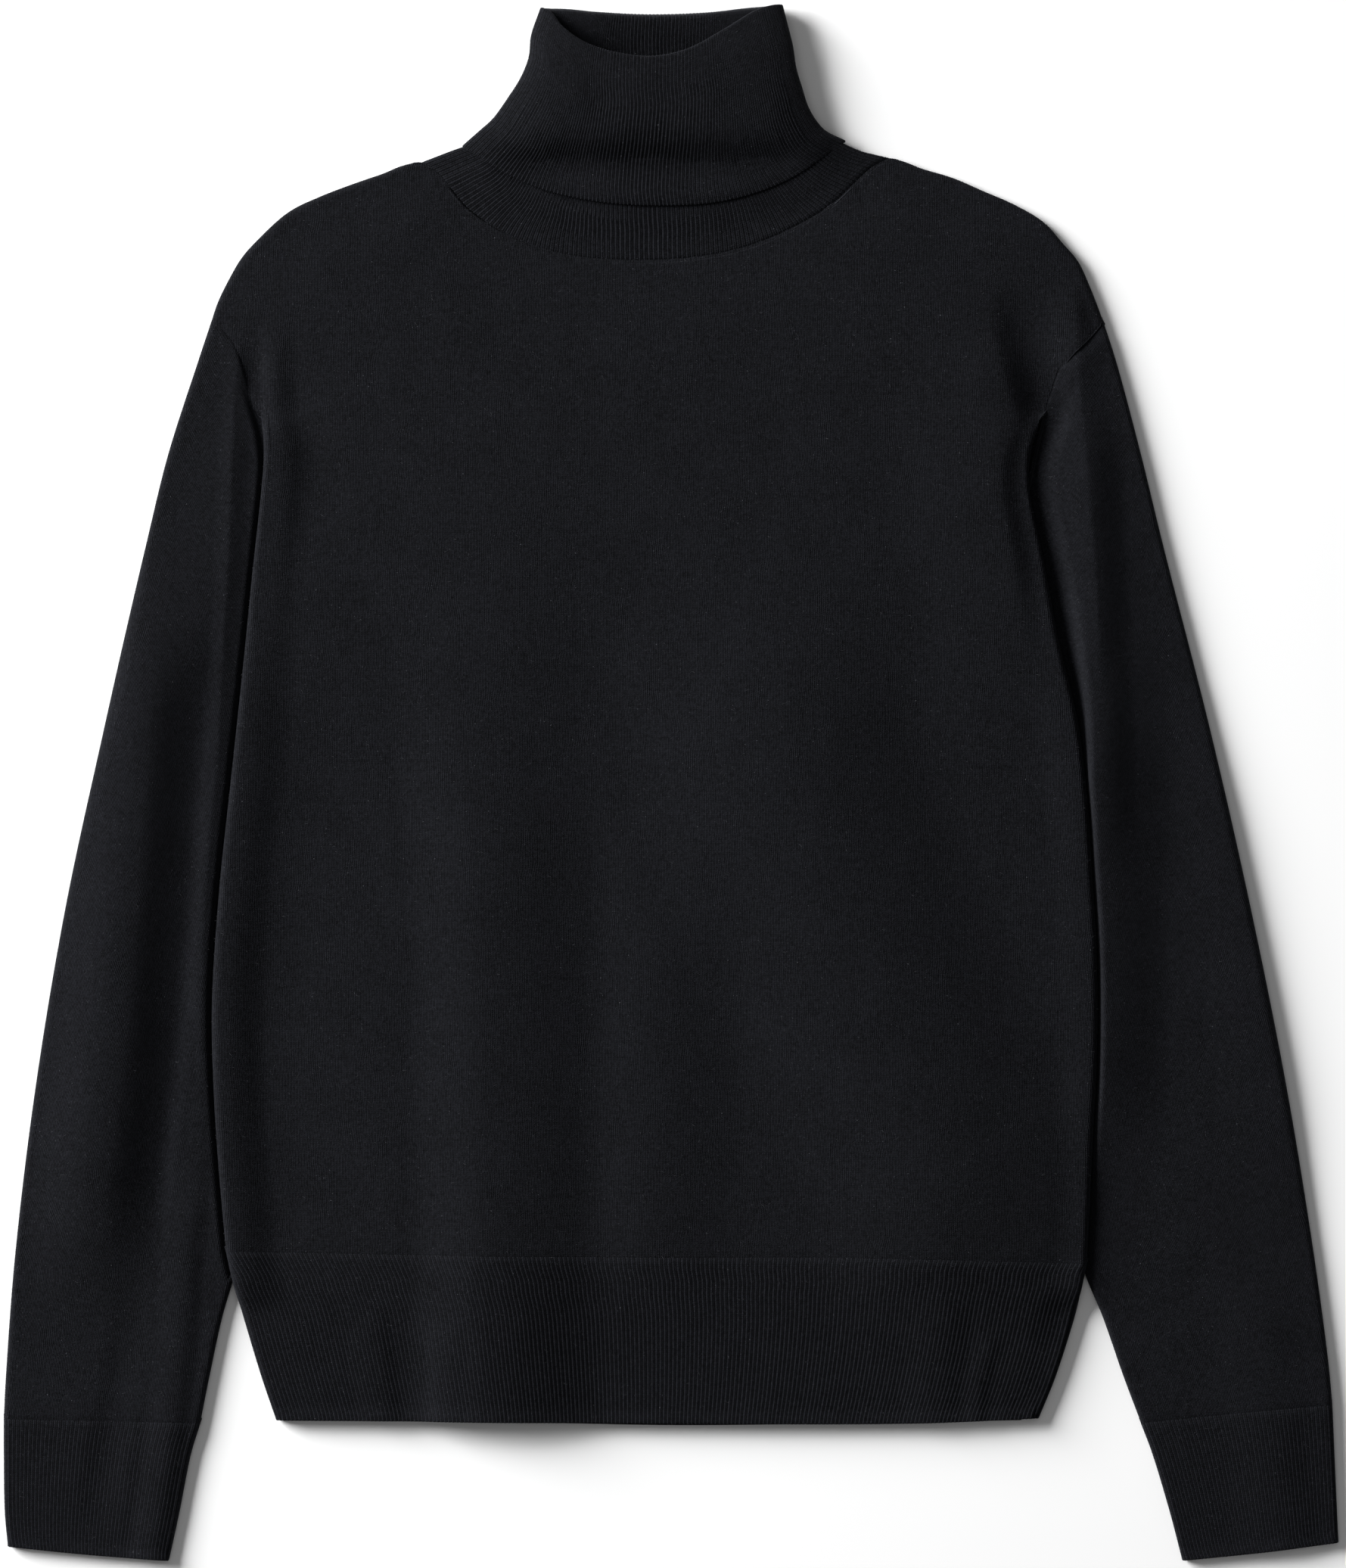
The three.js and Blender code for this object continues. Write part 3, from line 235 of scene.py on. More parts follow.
# Folds: where each lies, its widths to the left and right of the crest, its height and how far its ends fade.
# A sharp fold has a crease along its crest.
FOLDS = [
    dict(on="both", left=8, right=9, height=1.2, fade_in=60, fade_out=90, sharp=True,
         path=[(-212, 237.5), (-215.5, 205), (-217, 181), (-219, 125), (-222, 69), (-225, 12.5),
               (-230, -43.5), (-233, -118), (-232, -190)]),
    dict(on="sleeve", left=26, right=12, height=0.8, fade_in=30, fade_out=90,
         path=[(-218, 190), (-219, 125), (-222, 69), (-226, 12.5), (-231, -43.5), (-234, -118),
               (-233, -190)]),
    dict(on="body", left=6, right=13, height=1, fade_in=26, fade_out=70,
         path=[(-199, 236), (-198, 200), (-196, 150), (-201, 90), (-207, 40)]),
    dict(on="body", left=12, right=12, height=-1.7, fade_in=26, fade_out=40,
         path=[(-206, 226), (-207, 200), (-206, 170)]),
    dict(on="body", left=12, right=30, height=-1.2, fade_in=40, fade_out=70,
         path=[(-187, 226), (-184, 190), (-183, 150), (-188, 90)]),
    dict(on="body", left=34, right=60, height=-2.3, fade_in=100, fade_out=50,
         path=[(-170, 70), (-176, 12), (-186, -62), (-195, -137), (-191, -200), (-186, -262)]),
    dict(on="both", left=16, right=16, height=2, fade_in=22, fade_out=60, sharp=True,
         path=[(202, 256), (201.5, 230), (202.5, 200), (206, 160), (209, 120), (211, 87.5), (213, 31.5)]),
    dict(on="sleeve", left=24, right=20, height=3.4, fade_in=50, fade_out=80,
         path=[(203, 200), (206, 150), (209, 87), (211, 12), (213, -62)]),
    dict(on="sleeve", left=40, right=42, height=6.6, fade_in=130, fade_out=90,
         path=[(207, 110), (207, 12), (206, -62), (206, -137), (203, -215)]),
    dict(on="body", left=16, right=24, height=-3.4, fade_in=34, fade_out=12,
         path=[(170, 254), (173, 230), (178, 208), (184, 190), (189, 174)]),
    dict(on="body", left=56, right=18, height=2.8, fade_in=60, fade_out=90,
         path=[(160, 236), (164, 205), (163, 172), (162, 144), (170, 106), (177, 69), (186, 20)]),
    dict(on="body", left=40, right=62, height=6.6, fade_in=200, fade_out=1,
         path=[(-106, 130), (-98, 0), (-93, -62.5), (-91, -175), (-92.5, -330)]),
    dict(on="body", left=38, right=44, height=3.2, fade_in=110, fade_out=60,
         path=[(-2.5, 20), (-6.5, -137.5), (-8, -275)]),
    dict(on="body", left=84, right=76, height=9, fade_in=130, fade_out=100,
         path=[(44, 130), (55, 12), (84, -62), (113, -137), (138, -200), (156, -246), (166, -290)]),
    dict(on="body", left=10, right=7, height=0.7, fade_in=14, fade_out=1,
         path=[(160, -270), (153, -296), (150, -320)]),
    dict(on="body", left=9, right=14, height=1, fade_in=20, fade_out=1,
         path=[(-113, -262), (-114, -300), (-115, -322)]),
    dict(on="body", left=16, right=10, height=0.9, fade_in=20, fade_out=1,
         path=[(-150, -256), (-145, -290), (-142, -322)]),
    dict(on="body", left=22, right=16, height=1.1, fade_in=20, fade_out=1,
         path=[(136, -250), (133, -290), (132, -322)]),
    dict(on="body", left=80, right=60, height=1.4, fade_in=80, fade_out=90,
         path=[(-92, 200), (-86, 90), (-84, 0)]),
    dict(on="sleeve", left=36, right=38, height=7.4, fade_in=100, fade_out=110,
         path=[(-240, 140), (-254, 87), (-264, 12.5), (-272, -62), (-280, -137), (-288, -212), (-296, -290)]),
    dict(on="sleeve", left=22, right=11, height=-2.4, fade_in=60, fade_out=60,
         path=[(-232, 70), (-238, 12), (-243, -62), (-249, -137), (-257, -200), (-263, -250)]),
    dict(on="sleeve", left=14, right=10, height=1.6, fade_in=70, fade_out=1,
         path=[(-236, -160), (-240, -230), (-246, -300), (-258, -390)]),
    dict(on="sleeve", left=12, right=14, height=-0.9, fade_in=60, fade_out=40,
         path=[(-264, -230), (-272, -290), (-282, -340), (-288, -380)]),
    dict(on="sleeve", left=34, right=18, height=1.6, fade_in=90, fade_out=90,
         path=[(262, 60), (279, -20), (292, -90), (303, -160), (311, -230)]),
    dict(on="sleeve", left=26, right=20, height=1.2, fade_in=70, fade_out=1,
         path=[(286, -220), (296, -300), (304, -390)]),
]


def mix(a, b, t):
    return a + (b - a) * t


def ease(low, high, x):
    t = np.clip((x - low) / (high - low), 0, 1)
    return t * t * (3 - 2 * t)


def curve(points):
    """A smooth line through (x, y) points, called with 0 to 1 along its length."""
    p = np.array(points, float)
    p = np.vstack([2 * p[0] - p[1], p, 2 * p[-1] - p[-2]])
    t = np.linspace(0, 1, 60)[:, None]
    pieces = []
    for a, b, c, d in zip(p, p[1:], p[2:], p[3:]):
        before, here, after = (math.sqrt(math.dist(m, n)) for m, n in ((a, b), (b, c), (c, d)))
        start = here * ((b - a) / before - (c - a) / (before + here) + (c - b) / here)
        stop = here * ((c - b) / here - (d - b) / (here + after) + (d - c) / after)
        bend = (2 * t**3 - 3 * t**2 + 1) * b + (t**3 - 2 * t**2 + t) * start
        pieces.append(bend + (3 * t**2 - 2 * t**3) * c + (t**3 - t**2) * stop)
    line = np.vstack(pieces)
    along = np.concatenate([[0], np.cumsum(np.hypot(*np.diff(line, axis=0).T))])
    share = along / along[-1]
    return lambda t: np.stack([np.interp(t, share, line[:, 0]), np.interp(t, share, line[:, 1])], -1)


def offset_points(points, distance):
    """The points moved sideways, to the left of their direction where the distance is positive."""
    p = np.array(points, float)
    way = np.vstack([p[1] - p[0], p[2:] - p[:-2], p[-1] - p[-2]])
    way /= np.linalg.norm(way, axis=1)[:, None]
    return p + np.stack([-way[:, 1], way[:, 0]], -1) * distance


def patch(top, bottom, left, right):
    """The four-sided patch between its border lines, called with shares across and down."""
    def place(u, v):
        u, v = np.broadcast_arrays(np.asarray(u, float), np.asarray(v, float))
        across, down = u[..., None], v[..., None]
        corners = mix(mix(top(0.0), top(1.0), across), mix(bottom(0.0), bottom(1.0), across), down)
        return mix(top(u), bottom(u), down) + mix(left(v), right(v), across) - corners
    return place


def nearest(path, xy):
    """Distance to a path, the place along it, the path's length, and 1 where the point is on its left."""
    best = np.full(xy.shape[:-1], np.inf)
    along = np.zeros_like(best)
    side = np.zeros_like(best)
    start = 0.0
    for a, b in zip(path[:-1], path[1:]):
        way = b - a
        length = math.hypot(*way)
        t = np.clip(((xy - a) @ way) / length**2, 0, 1)
        gap = xy - a - way * t[..., None]
        distance = np.hypot(gap[..., 0], gap[..., 1])
        closer = distance < best
        best = np.where(closer, distance, best)
        along = np.where(closer, start + t * length, along)
        side = np.where(closer, way[0] * gap[..., 1] - way[1] * gap[..., 0], side)
        start += length
    return best, along, start, side > 0


def ripple(xy, size, seed):
    """Smooth seeded unevenness from -1 to 1 with humps about size millimetres wide."""
    lattice = np.random.default_rng(seed).uniform(-1, 1, (97, 97))
    cell = np.floor(xy / np.array(size, float)).astype(int)
    t = xy / np.array(size, float) - cell
    t = t * t * (3 - 2 * t)
    corner = lambda i, j: lattice[(cell[..., 0] + i) % 97, (cell[..., 1] + j) % 97]
    low = mix(corner(0, 0), corner(1, 0), t[..., 0])
    high = mix(corner(0, 1), corner(1, 1), t[..., 0])
    return mix(low, high, t[..., 1])


def look_up(points, y):
    """The x of a line of (x, y) points at each y."""
    p = np.array(sorted((y, x) for x, y in points))
    return np.interp(y, p[:, 0], p[:, 1])


for fold in FOLDS:
    fold["path"] = curve(fold["path"])(np.linspace(0, 1, 25))


def fold_height(xy, where):
    total = np.zeros(xy.shape[:-1])
    for fold in FOLDS:
        if fold["on"] not in (where, "both"):
            continue
        distance, along, length, on_left = nearest(fold["path"], xy)
        half = np.where(on_left, fold["right"], fold["left"])
        share = np.clip(distance / half, 0, 1)
        bump = (1 - share) ** 2 * (1 + 0.7 * share) if fold.get("sharp") else (1 - share**2) ** 2
        fade = ease(0, fold["fade_in"], along) * ease(0, fold["fade_out"], length - along)
        total += fold["height"] * bump * fade
    return total


def unevenness(xy):
    long_waves = 0.26 * ripple(xy, (42, 110), 3) + 0.06 * ripple(xy, (15, 30), 5)
    return long_waves + 0.03 * ripple(xy, (5, 7), 8) + 0.03 * ripple(xy, (2.2, 2.6), 9)


def between(line, first, last):
    """41 points of a line from its place nearest to first to its place nearest to last."""
    t = np.linspace(0, 1, 2001)
    start, stop = (t[np.argmin(np.hypot(*(line(t) - place).T))] for place in (first, last))
    return line(np.linspace(start, stop, 41))


# Border lines of the front and the places derived from them
top_line = curve([*LEFT_SHOULDER, *NECK_SEAM[1:], *RIGHT_SHOULDER[1:]])
top_path = top_line(np.linspace(0, 1, 121))
neck_path = between(top_line, LEFT_NECK_POINT, RIGHT_NECK_POINT)
hem_path = curve(HEM_SEAM)(np.linspace(0, 1, 21))
fold_edge_path = curve(FOLD_FRONT_EDGE)(np.linspace(0, 1, 41))
hem_bottom_path = curve(HEM_BOTTOM)(np.linspace(0, 1, 21))
seam_paths = {
    "left": curve(ARMHOLES["left"])(np.linspace(0, 0.26, 24)),
    "right": curve(ARMHOLES["right"])(np.linspace(0, 0.22, 24)),
}
body_edges = {
    "left": [*curve(LEFT_BODY_EDGE)(np.linspace(0, 1, 121)), *LEFT_HEM_EDGE[1:]],
    "right": [*curve(RIGHT_BODY_EDGE)(np.linspace(0, 1, 121)), *RIGHT_HEM_EDGE[1:]],
}
SIDE = {"left": -1, "right": 1}


def rolled(y):
    """How far a side edge is rolled under: 0 at the armhole seam, 1 below it."""
    return 1 - ease(*ROLL_BEGINS, y)


def sleeve_under(y):
    return (1 - ease(*SLEEVE_GOES_UNDER, y)) * ease(*SLEEVE_COMES_OUT, y)


def tuck_height(y):
    return mix(TABLE_LAYER, TUCK, ease(*TUCK_COMES_DOWN, y))


def roll_radius(side, y):
    thinner, begins, ends = ROLL_THINS[side]
    return mix(ROLL_AT_HEM, ROLL_ABOVE[side], ease(*HEM_STRETCH, y)) - thinner * ease(begins, ends, y)


def seam_dip(paths, xy):
    """Both edges of a sewn seam sink a little, so that the seam shows as a crease."""
    distance = np.min([nearest(path, xy)[0] for path in paths], axis=0)
    return SEAM_DIP * (1 - ease(0, 2.4, distance))


def top_of_tuck(xy):
    """Lowest place for the front where its side edges are tucked under it."""
    x, y = xy[..., 0], xy[..., 1]
    over_left = x < look_up(TUCK_END["left"], y) + TUCK_REACH
    over_right = x > look_up(TUCK_END["right"], y) - TUCK_REACH
    return np.where(over_left | over_right, tuck_height(y) + CLOTH + TUCK_CLEARANCE, 0)


def edge_blend(side, y):
    """Distance from a side edge at which the front has left its roll."""
    return 27 if side == "left" else mix(22, 15, ease(40, 140, y))


def front_height(xy):
    x, y = xy[..., 0], xy[..., 1]
    to_top = nearest(top_path, xy)[0]
    to_seam = np.min([nearest(path, xy)[0] for path in seam_paths.values()], axis=0)
    middle = mix(HEM_EDGE, BODY + CROWN * ease(*CROWN_RISE, to_top), ease(*HEM_RISE, y))
    height = mix(SHOULDER, middle, ease(0, EDGE_RISE, np.minimum(to_top, to_seam + 60 * rolled(y))))
    height = height + (fold_height(xy, "body") + unevenness(xy)) * ease(0, FOLDS_BEGIN, to_top)
    for side, sign in SIDE.items():
        top = tuck_height(y) + 2 * roll_radius(side, y)
        inside = sign * (look_up(body_edges[side], y) - x)
        height = mix(height, top, rolled(y) * (1 - ease(EDGE_FLAT, edge_blend(side, y), inside)))
    for x_neck, y_neck in (LEFT_NECK_POINT, RIGHT_NECK_POINT):
        to_neck_end = np.hypot(x - x_neck, y - y_neck)
        height = height - NECK_END_DIP * (1 - ease(0, NECK_END_REACH, to_neck_end))
    height = np.maximum(height, rolled(y) * top_of_tuck(xy))
    height = height + WELT_CURL * (1 - ease(0, 4.5, nearest(hem_bottom_path, xy)[0]))
    paths = [neck_path, hem_path, seam_paths["left"][:17], seam_paths["right"][:17]]
    return height - seam_dip(paths, xy)


def sleeve_height(xy):
    x, y = xy[..., 0], xy[..., 1]
    side = "left" if x.mean() < 0 else "right"
    outside = SIDE[side] * (x - look_up(body_edges[side], y))
    free = mix(CUFF_EDGE, SLEEVE, ease(*CUFF_RISE, y)) + fold_height(xy, "sleeve") + unevenness(xy)
    open_side = ease(*SLEEVE_OPENS, y) if side == "right" else 0
    rise = ease(mix(0.6, 4, open_side), mix(3.4, 15, open_side), outside)
    height = mix(free, TUCKED_SLEEVE, sleeve_under(y) * (1 - rise))
    bottom = curve(SLEEVES[side]["cuff_bottom"])(np.linspace(0, 1, 9))
    height = height + CUFF_CURL * (1 - ease(0, 4, nearest(bottom, xy)[0]))
    if side == "right":
        height = height - 0.9 * (1 - ease(0, 6, nearest(seam_paths[side], xy)[0]))
    seam = curve(SLEEVES[side]["cuff_seam"])(np.linspace(0, 1, 9))
    return height - seam_dip([seam_paths[side][:17], seam], xy)


# Meshes

class Wall:
    """Points and faces of one closed cloth wall, with a knit map in stitches."""

    def __init__(self):
        self.points = []
        self.knit = []
        self.faces = []
        self.maps = []

    def grid(self, points, knit):
        rows, columns = points.shape[:2]
        first = len(self.points)
        self.points.extend(points.reshape(-1, 3).tolist())
        self.knit.extend(knit[:, :columns].reshape(-1, 2).tolist())
        return np.arange(first, first + rows * columns).reshape(rows, columns)

    def skin(self, ids, knit, closed, flip):
        """The faces between the rows of a grid; on a closed one the knit map has one more column."""
        if closed:
            ids = np.hstack([ids, ids[:, :1]])
        corners = [(slice(None, -1), slice(None, -1)), (slice(None, -1), slice(1, None)),
                   (slice(1, None), slice(1, None)), (slice(1, None), slice(None, -1))]
        if flip:
            corners = corners[::-1]
        self.faces.extend(np.stack([ids[c] for c in corners], -1).reshape(-1, 4).tolist())
        self.maps.extend(np.stack([knit[c] for c in corners], -2).reshape(-1, 8).tolist())

    def strip(self, a, b, flip):
        """Triangles between two lines of points that may have different counts."""
        (ids_a, places_a), (ids_b, places_b) = a, b
        i = j = 0
        while i < len(ids_a) - 1 or j < len(ids_b) - 1:
            b_is_done = j == len(ids_b) - 1
            if i < len(ids_a) - 1 and (b_is_done or places_a[i + 1] <= places_b[j + 1] + 1e-9):
                face = [ids_a[i], ids_b[j], ids_a[i + 1]]
                i += 1
            else:
                face = [ids_a[i], ids_b[j], ids_b[j + 1]]
                j += 1
            face = face[::-1] if flip else face
            self.faces.append([int(n) for n in face])
            self.maps.append([n for corner in face for n in self.knit[corner]])

    def object(self, name):
        mesh = bpy.data.meshes.new(name)
        points = np.array(self.points)
        points[:, 2] = np.maximum(points[:, 2], 0)  # the table holds the cloth up
        mesh.from_pydata((points / 1000).tolist(), [], self.faces)
        mesh.uv_layers.new(name="knit")
        mesh.uv_layers["knit"].data.foreach_set("uv", [n for row in self.maps for n in row])
        mesh.polygons.foreach_set("use_smooth", [True] * len(mesh.polygons))
        mesh.validate()
        mesh.update()
        made = bpy.data.objects.new(name, mesh)
        bpy.context.scene.collection.objects.link(made)
        return made


def unit(vectors):
    return vectors / np.maximum(np.linalg.norm(vectors, axis=-1, keepdims=True), 1e-9)


def normals(middle, closed):
    """Directions out of the cloth; rows run down the cloth and columns from left to right over its top."""
    down = np.gradient(middle, axis=0)
    if closed:
        across = np.roll(middle, -1, axis=1) - np.roll(middle, 1, axis=1)
    else:
        across = np.gradient(middle, axis=1)
    return unit(np.cross(down, across))


def rounded_rim(middle, out, lift):
    """Rows that turn round the last edge of a wall, from its outer to its inner face."""
    beyond = unit(middle[-1] - middle[-2])
    rows = []
    for degrees in (60, 30, 0, -30, -60):
        angle = math.radians(degrees)
        reach = HALF + lift[-1] * (1 + math.sin(angle)) / 2
        rows.append(middle[-1] + out[-1] * (reach * math.sin(angle))[:, None]
                    + beyond * (reach * math.cos(angle))[:, None])
    return np.stack(rows)


def cloth_wall(name, middle, knit, inner_rows, inner_columns, closed=False, lift=None, lift_inside=None):
    """A wall on both sides of its middle surface; lift raises ribs on the outer face."""
    out = normals(middle, closed)
    lift = np.zeros(middle.shape[:2]) if lift is None else lift
    outer = middle + out * (HALF + lift)[..., None]
    rim = rounded_rim(middle, out, lift)
    wall = Wall()
    outer_map = np.concatenate([knit, np.repeat(knit[-1:], len(rim), 0)])
    outer_ids = wall.grid(np.vstack([outer, rim]), outer_map)
    wall.skin(outer_ids, outer_map, closed, False)
    inside = np.zeros(middle.shape[:2]) if lift_inside is None else lift_inside
    inner = (middle - out * (HALF + inside)[..., None])[np.ix_(inner_rows, inner_columns)]
    map_columns = [*inner_columns, middle.shape[1]] if closed else inner_columns
    inner_map = knit[np.ix_(inner_rows, map_columns)]
    inner_ids = wall.grid(inner, inner_map)
    wall.skin(inner_ids, inner_map, closed, True)
    join_rims(wall, outer_ids, inner_ids, inner_rows, inner_columns, middle.shape, closed)
    return wall.object(name), outer, out


def join_rims(wall, outer_ids, inner_ids, inner_rows, inner_columns, shape, closed):
    wrap = lambda ids: [*ids, ids[0]] if closed else ids
    columns = [*range(shape[1] + 1)] if closed else [*range(shape[1])]
    few = [*inner_columns, inner_columns[0] + shape[1]] if closed else inner_columns
    wall.strip((wrap(outer_ids[0]), columns), (wrap(inner_ids[0]), few), True)
    wall.strip((wrap(outer_ids[-1]), columns), (wrap(inner_ids[-1]), few), False)
    if closed:
        return
    rows = [*range(shape[0]), *[shape[0] - 1] * (len(outer_ids) - shape[0])]
    wall.strip((outer_ids[:, 0], rows), (inner_ids[:, 0], inner_rows), False)
    wall.strip((outer_ids[:, -1], rows), (inner_ids[:, -1], inner_rows), True)


def spread(count, step):
    """Every step-th number below count, with the last one."""
    return sorted({*range(0, count, step), count - 1})


def along_rows(points, closed=False):
    """Distance along each row from its first point; a closed row ends with its whole length."""
    if closed:
        points = np.concatenate([points, points[:, :1]], 1)
    steps = np.linalg.norm(np.diff(points, axis=1), axis=-1)
    return np.concatenate([np.zeros((len(points), 1)), np.cumsum(steps, 1)], 1)


def rib_wave(phase):
    """Round ridges with narrow grooves between them, from 0 to 1."""
    return np.abs(np.cos(math.pi * phase)) ** 0.55


# Body

EDGE_SHARE = 0.032
TUCK_RUN = 6.5
EDGE_STEPS = [
    *[("tuck", t) for t in (0, 0.25, 0.5, 0.75, 1)], *[("turn", t) for t in range(-90, 91, 15)],
    *[("in", t) for t in (0.12, 0.26, 0.4, 0.55, 0.7, 0.85)],
]


def edge_points(side, panel, v):
    """Side edge of the front at each v: the end of the tuck, the roll and a short way in."""
    sign = SIDE[side]
    edge = panel(0.0 if sign < 0 else 1.0, v)
    anchor = panel(EDGE_SHARE if sign < 0 else 1 - EDGE_SHARE, v)
    reach = np.abs(anchor[:, 0] - edge[:, 0])
    y = anchor[:, 1]
    radius = roll_radius(side, y)
    width = np.maximum(HALF + radius + 1.6, -sign * (look_up(TUCK_END[side], y) - edge[:, 0]))
    run = np.minimum(TUCK_RUN, 0.8 * (width - HALF - radius))
    low_end = mix(tuck_height(y), TABLE_LAYER, 1 - ease(5, 22, y))
    columns = []
    for kind, amount in EDGE_STEPS:
        if kind == "tuck":
            off = width - run * amount
            height = mix(low_end, tuck_height(y), ease(0, 1, amount))
        elif kind == "turn":
            angle = math.radians(amount)
            off = HALF + radius * (1 - math.cos(angle))
            height = tuck_height(y) + radius * (1 + math.sin(angle))
        else:
            off = mix(HALF + radius, reach, amount)
            height = None
        plan = np.stack([edge[:, 0] - sign * off, mix(edge[:, 1], y, np.clip(off / reach, 0, 1))], -1)
        height = front_height(plan) if height is None else height
        columns.append(np.column_stack([plan, height]))
    return np.stack(columns, 1)


def front_rows(panel, v, middle_count):
    """Middle surface of the front or its hem at each v, from the left tuck over the top to the right one."""
    steps = np.arange(len(EDGE_STEPS)) / len(EDGE_STEPS)
    blocks = []
    for side in ("left", "right"):
        share = EDGE_SHARE * steps
        flat = panel((share if side == "left" else 1 - share)[None, :], v[:, None])
        flat_points = np.concatenate([flat, front_height(flat)[..., None]], -1)
        weight = rolled(flat[..., 1])[..., None]
        blocks.append(mix(flat_points, edge_points(side, panel, v), weight))
    u = np.linspace(EDGE_SHARE, 1 - EDGE_SHARE, middle_count)
    plan = panel(u[None, :], v[:, None])
    middle = np.concatenate([plan, front_height(plan)[..., None]], -1)
    return np.concatenate([blocks[0], middle, blocks[1][:, ::-1]], 1)


def shoulder_curl(u, turns):
    """Cloth that rolls over the shoulder line, from the table up; at the neck it stays flat."""
    radius = (SHOULDER - TABLE_LAYER) / 2
    at = top_line(u)
    way = unit(top_line(np.clip(u + 2e-3, 0, 1)) - top_line(np.clip(u - 2e-3, 0, 1)))
    inward = np.stack([way[:, 1], -way[:, 0]], -1)
    shoulder = ease(4, 16, nearest(neck_path, at)[0])
    rows = []
    for angle in turns:
        flat_off = HALF + 1.9 * (1 - angle / math.pi)
        off = mix(flat_off, HALF + radius * (1 - math.sin(angle)), shoulder)
        plan = at + inward * off[:, None]
        height = mix(front_height(plan), TABLE_LAYER + radius * (1 + math.cos(angle)), shoulder)
        rows.append(np.column_stack([plan, height]))
    return np.stack(rows)


FRONT_MIDDLE = 236
front_panel_patch = patch(top_line, curve(HEM_SEAM), curve(LEFT_BODY_EDGE), curve(RIGHT_BODY_EDGE))


def front_shares():
    """Share of the width at each column of the front."""
    edge = EDGE_SHARE * np.arange(len(EDGE_STEPS)) / len(EDGE_STEPS)
    return np.concatenate([edge, np.linspace(EDGE_SHARE, 1 - EDGE_SHARE, FRONT_MIDDLE), 1 - edge[::-1]])


def make_front():
    v = np.concatenate([[0.006, 0.0085], np.linspace(0.0115, 0.9985, 262), [1]])
    curl = shoulder_curl(front_shares(), np.linspace(math.pi, 0.2 * math.pi, 11))
    middle = np.vstack([curl, front_rows(front_panel_patch, v, FRONT_MIDDLE)])
    knit = middle[..., :2] / (WALE, COURSE)
    edge = len(EDGE_STEPS)
    right_edge = edge + FRONT_MIDDLE
    columns = [*range(edge), *range(edge + 5, right_edge, 6), *range(right_edge, middle.shape[1])]
    rows = [*range(11), *range(11, len(middle) - 1, 5), len(middle) - 1]
    return cloth_wall("front_jersey", middle, knit, rows, columns)


def lowered(points):
    return [(x, y - 0.3) for x, y in points]


def even_columns(middle, count):
    """The same surface with its columns spread evenly along every row."""
    along = along_rows(middle)
    share = np.linspace(0, 1, count)
    rows = [[np.interp(share * s[-1], s, row[:, k]) for k in range(3)] for row, s in zip(middle, along)]
    return np.array(rows).transpose(0, 2, 1)


def under_edge(middle, drop):
    """Rows that go on under the neighbouring piece, where a seam joins the two."""
    beyond = unit(middle[0] - middle[1]) * (1, 1, 0)
    rows = [middle[0] + beyond * reach - np.array((0, 0, 1)) * drop * fall for reach, fall in
            ((3.2, 1), (2.2, 1), (1.2, 0.9), (0.5, 0.45))]
    return np.vstack([np.stack(rows), middle])


def make_front_hem():
    panel = patch(curve(lowered(HEM_SEAM)), curve(HEM_BOTTOM), curve(lowered(LEFT_HEM_EDGE)),
                  curve(lowered(RIGHT_HEM_EDGE)))
    rough = front_rows(panel, np.linspace(0, 1, 30), 200)
    ribs = round(along_rows(rough)[:, -1].mean() / HEM_RIB)
    middle = under_edge(even_columns(rough, ribs * 6 + 1), 1.3)
    phase = np.linspace(0, ribs, middle.shape[1])[None, :].repeat(len(middle), 0)
    down = np.linalg.norm(middle - middle[:1], axis=-1)
    lift = HEM_RIB_DEPTH * (rib_wave(phase) - 0.6) * mix(0.55, 1, ease(1, 8, down))
    return cloth_wall("front_hem_rib", middle, np.stack([phase, down / COURSE], -1),
                      spread(len(middle), 5), spread(middle.shape[1], 9), lift=lift)


# Sleeves and cuffs

def tube(panel, v, top_count, bottom_count):
    """A flattened tube on the table between the left and right borders of its patch, once round."""
    chain = panel(np.linspace(0, 1, 17)[None, :], v[:, None])
    length = np.linalg.norm(np.diff(chain, axis=1), axis=-1).sum(1)
    size = {side: (sleeve_height(panel(share, v)) - TABLE_LAYER) / 2
            for side, share in (("left", 3 / length), ("right", 1 - 3 / length))}
    starts = (HALF + size["left"]) / length
    ends = 1 - (HALF + size["right"]) / length
    across = mix(starts[:, None], ends[:, None], np.linspace(0, 1, top_count)[None, :])
    top = panel(across, v[:, None])
    blocks = [np.concatenate([top, sleeve_height(top)[..., None]], -1)]
    turns = np.radians(np.arange(75, -76, -15))
    for side in ("right", "left"):
        radius = size[side][:, None]
        angles = turns if side == "right" else turns[::-1]
        off = (HALF + radius * (1 - np.cos(angles))) / length[:, None]
        plan = panel(1 - off if side == "right" else off, v[:, None])
        height = TABLE_LAYER + radius * (1 + np.sin(angles))
        blocks.append(np.concatenate([plan, height[..., None]], -1))
        if side == "right":
            back = mix(ends[:, None], starts[:, None], np.linspace(0, 1, bottom_count)[None, :])
            under = panel(back, v[:, None])
            blocks.append(np.concatenate([under, np.full(under.shape[:2] + (1,), TABLE_LAYER)], -1))
    return np.concatenate(blocks, 1)


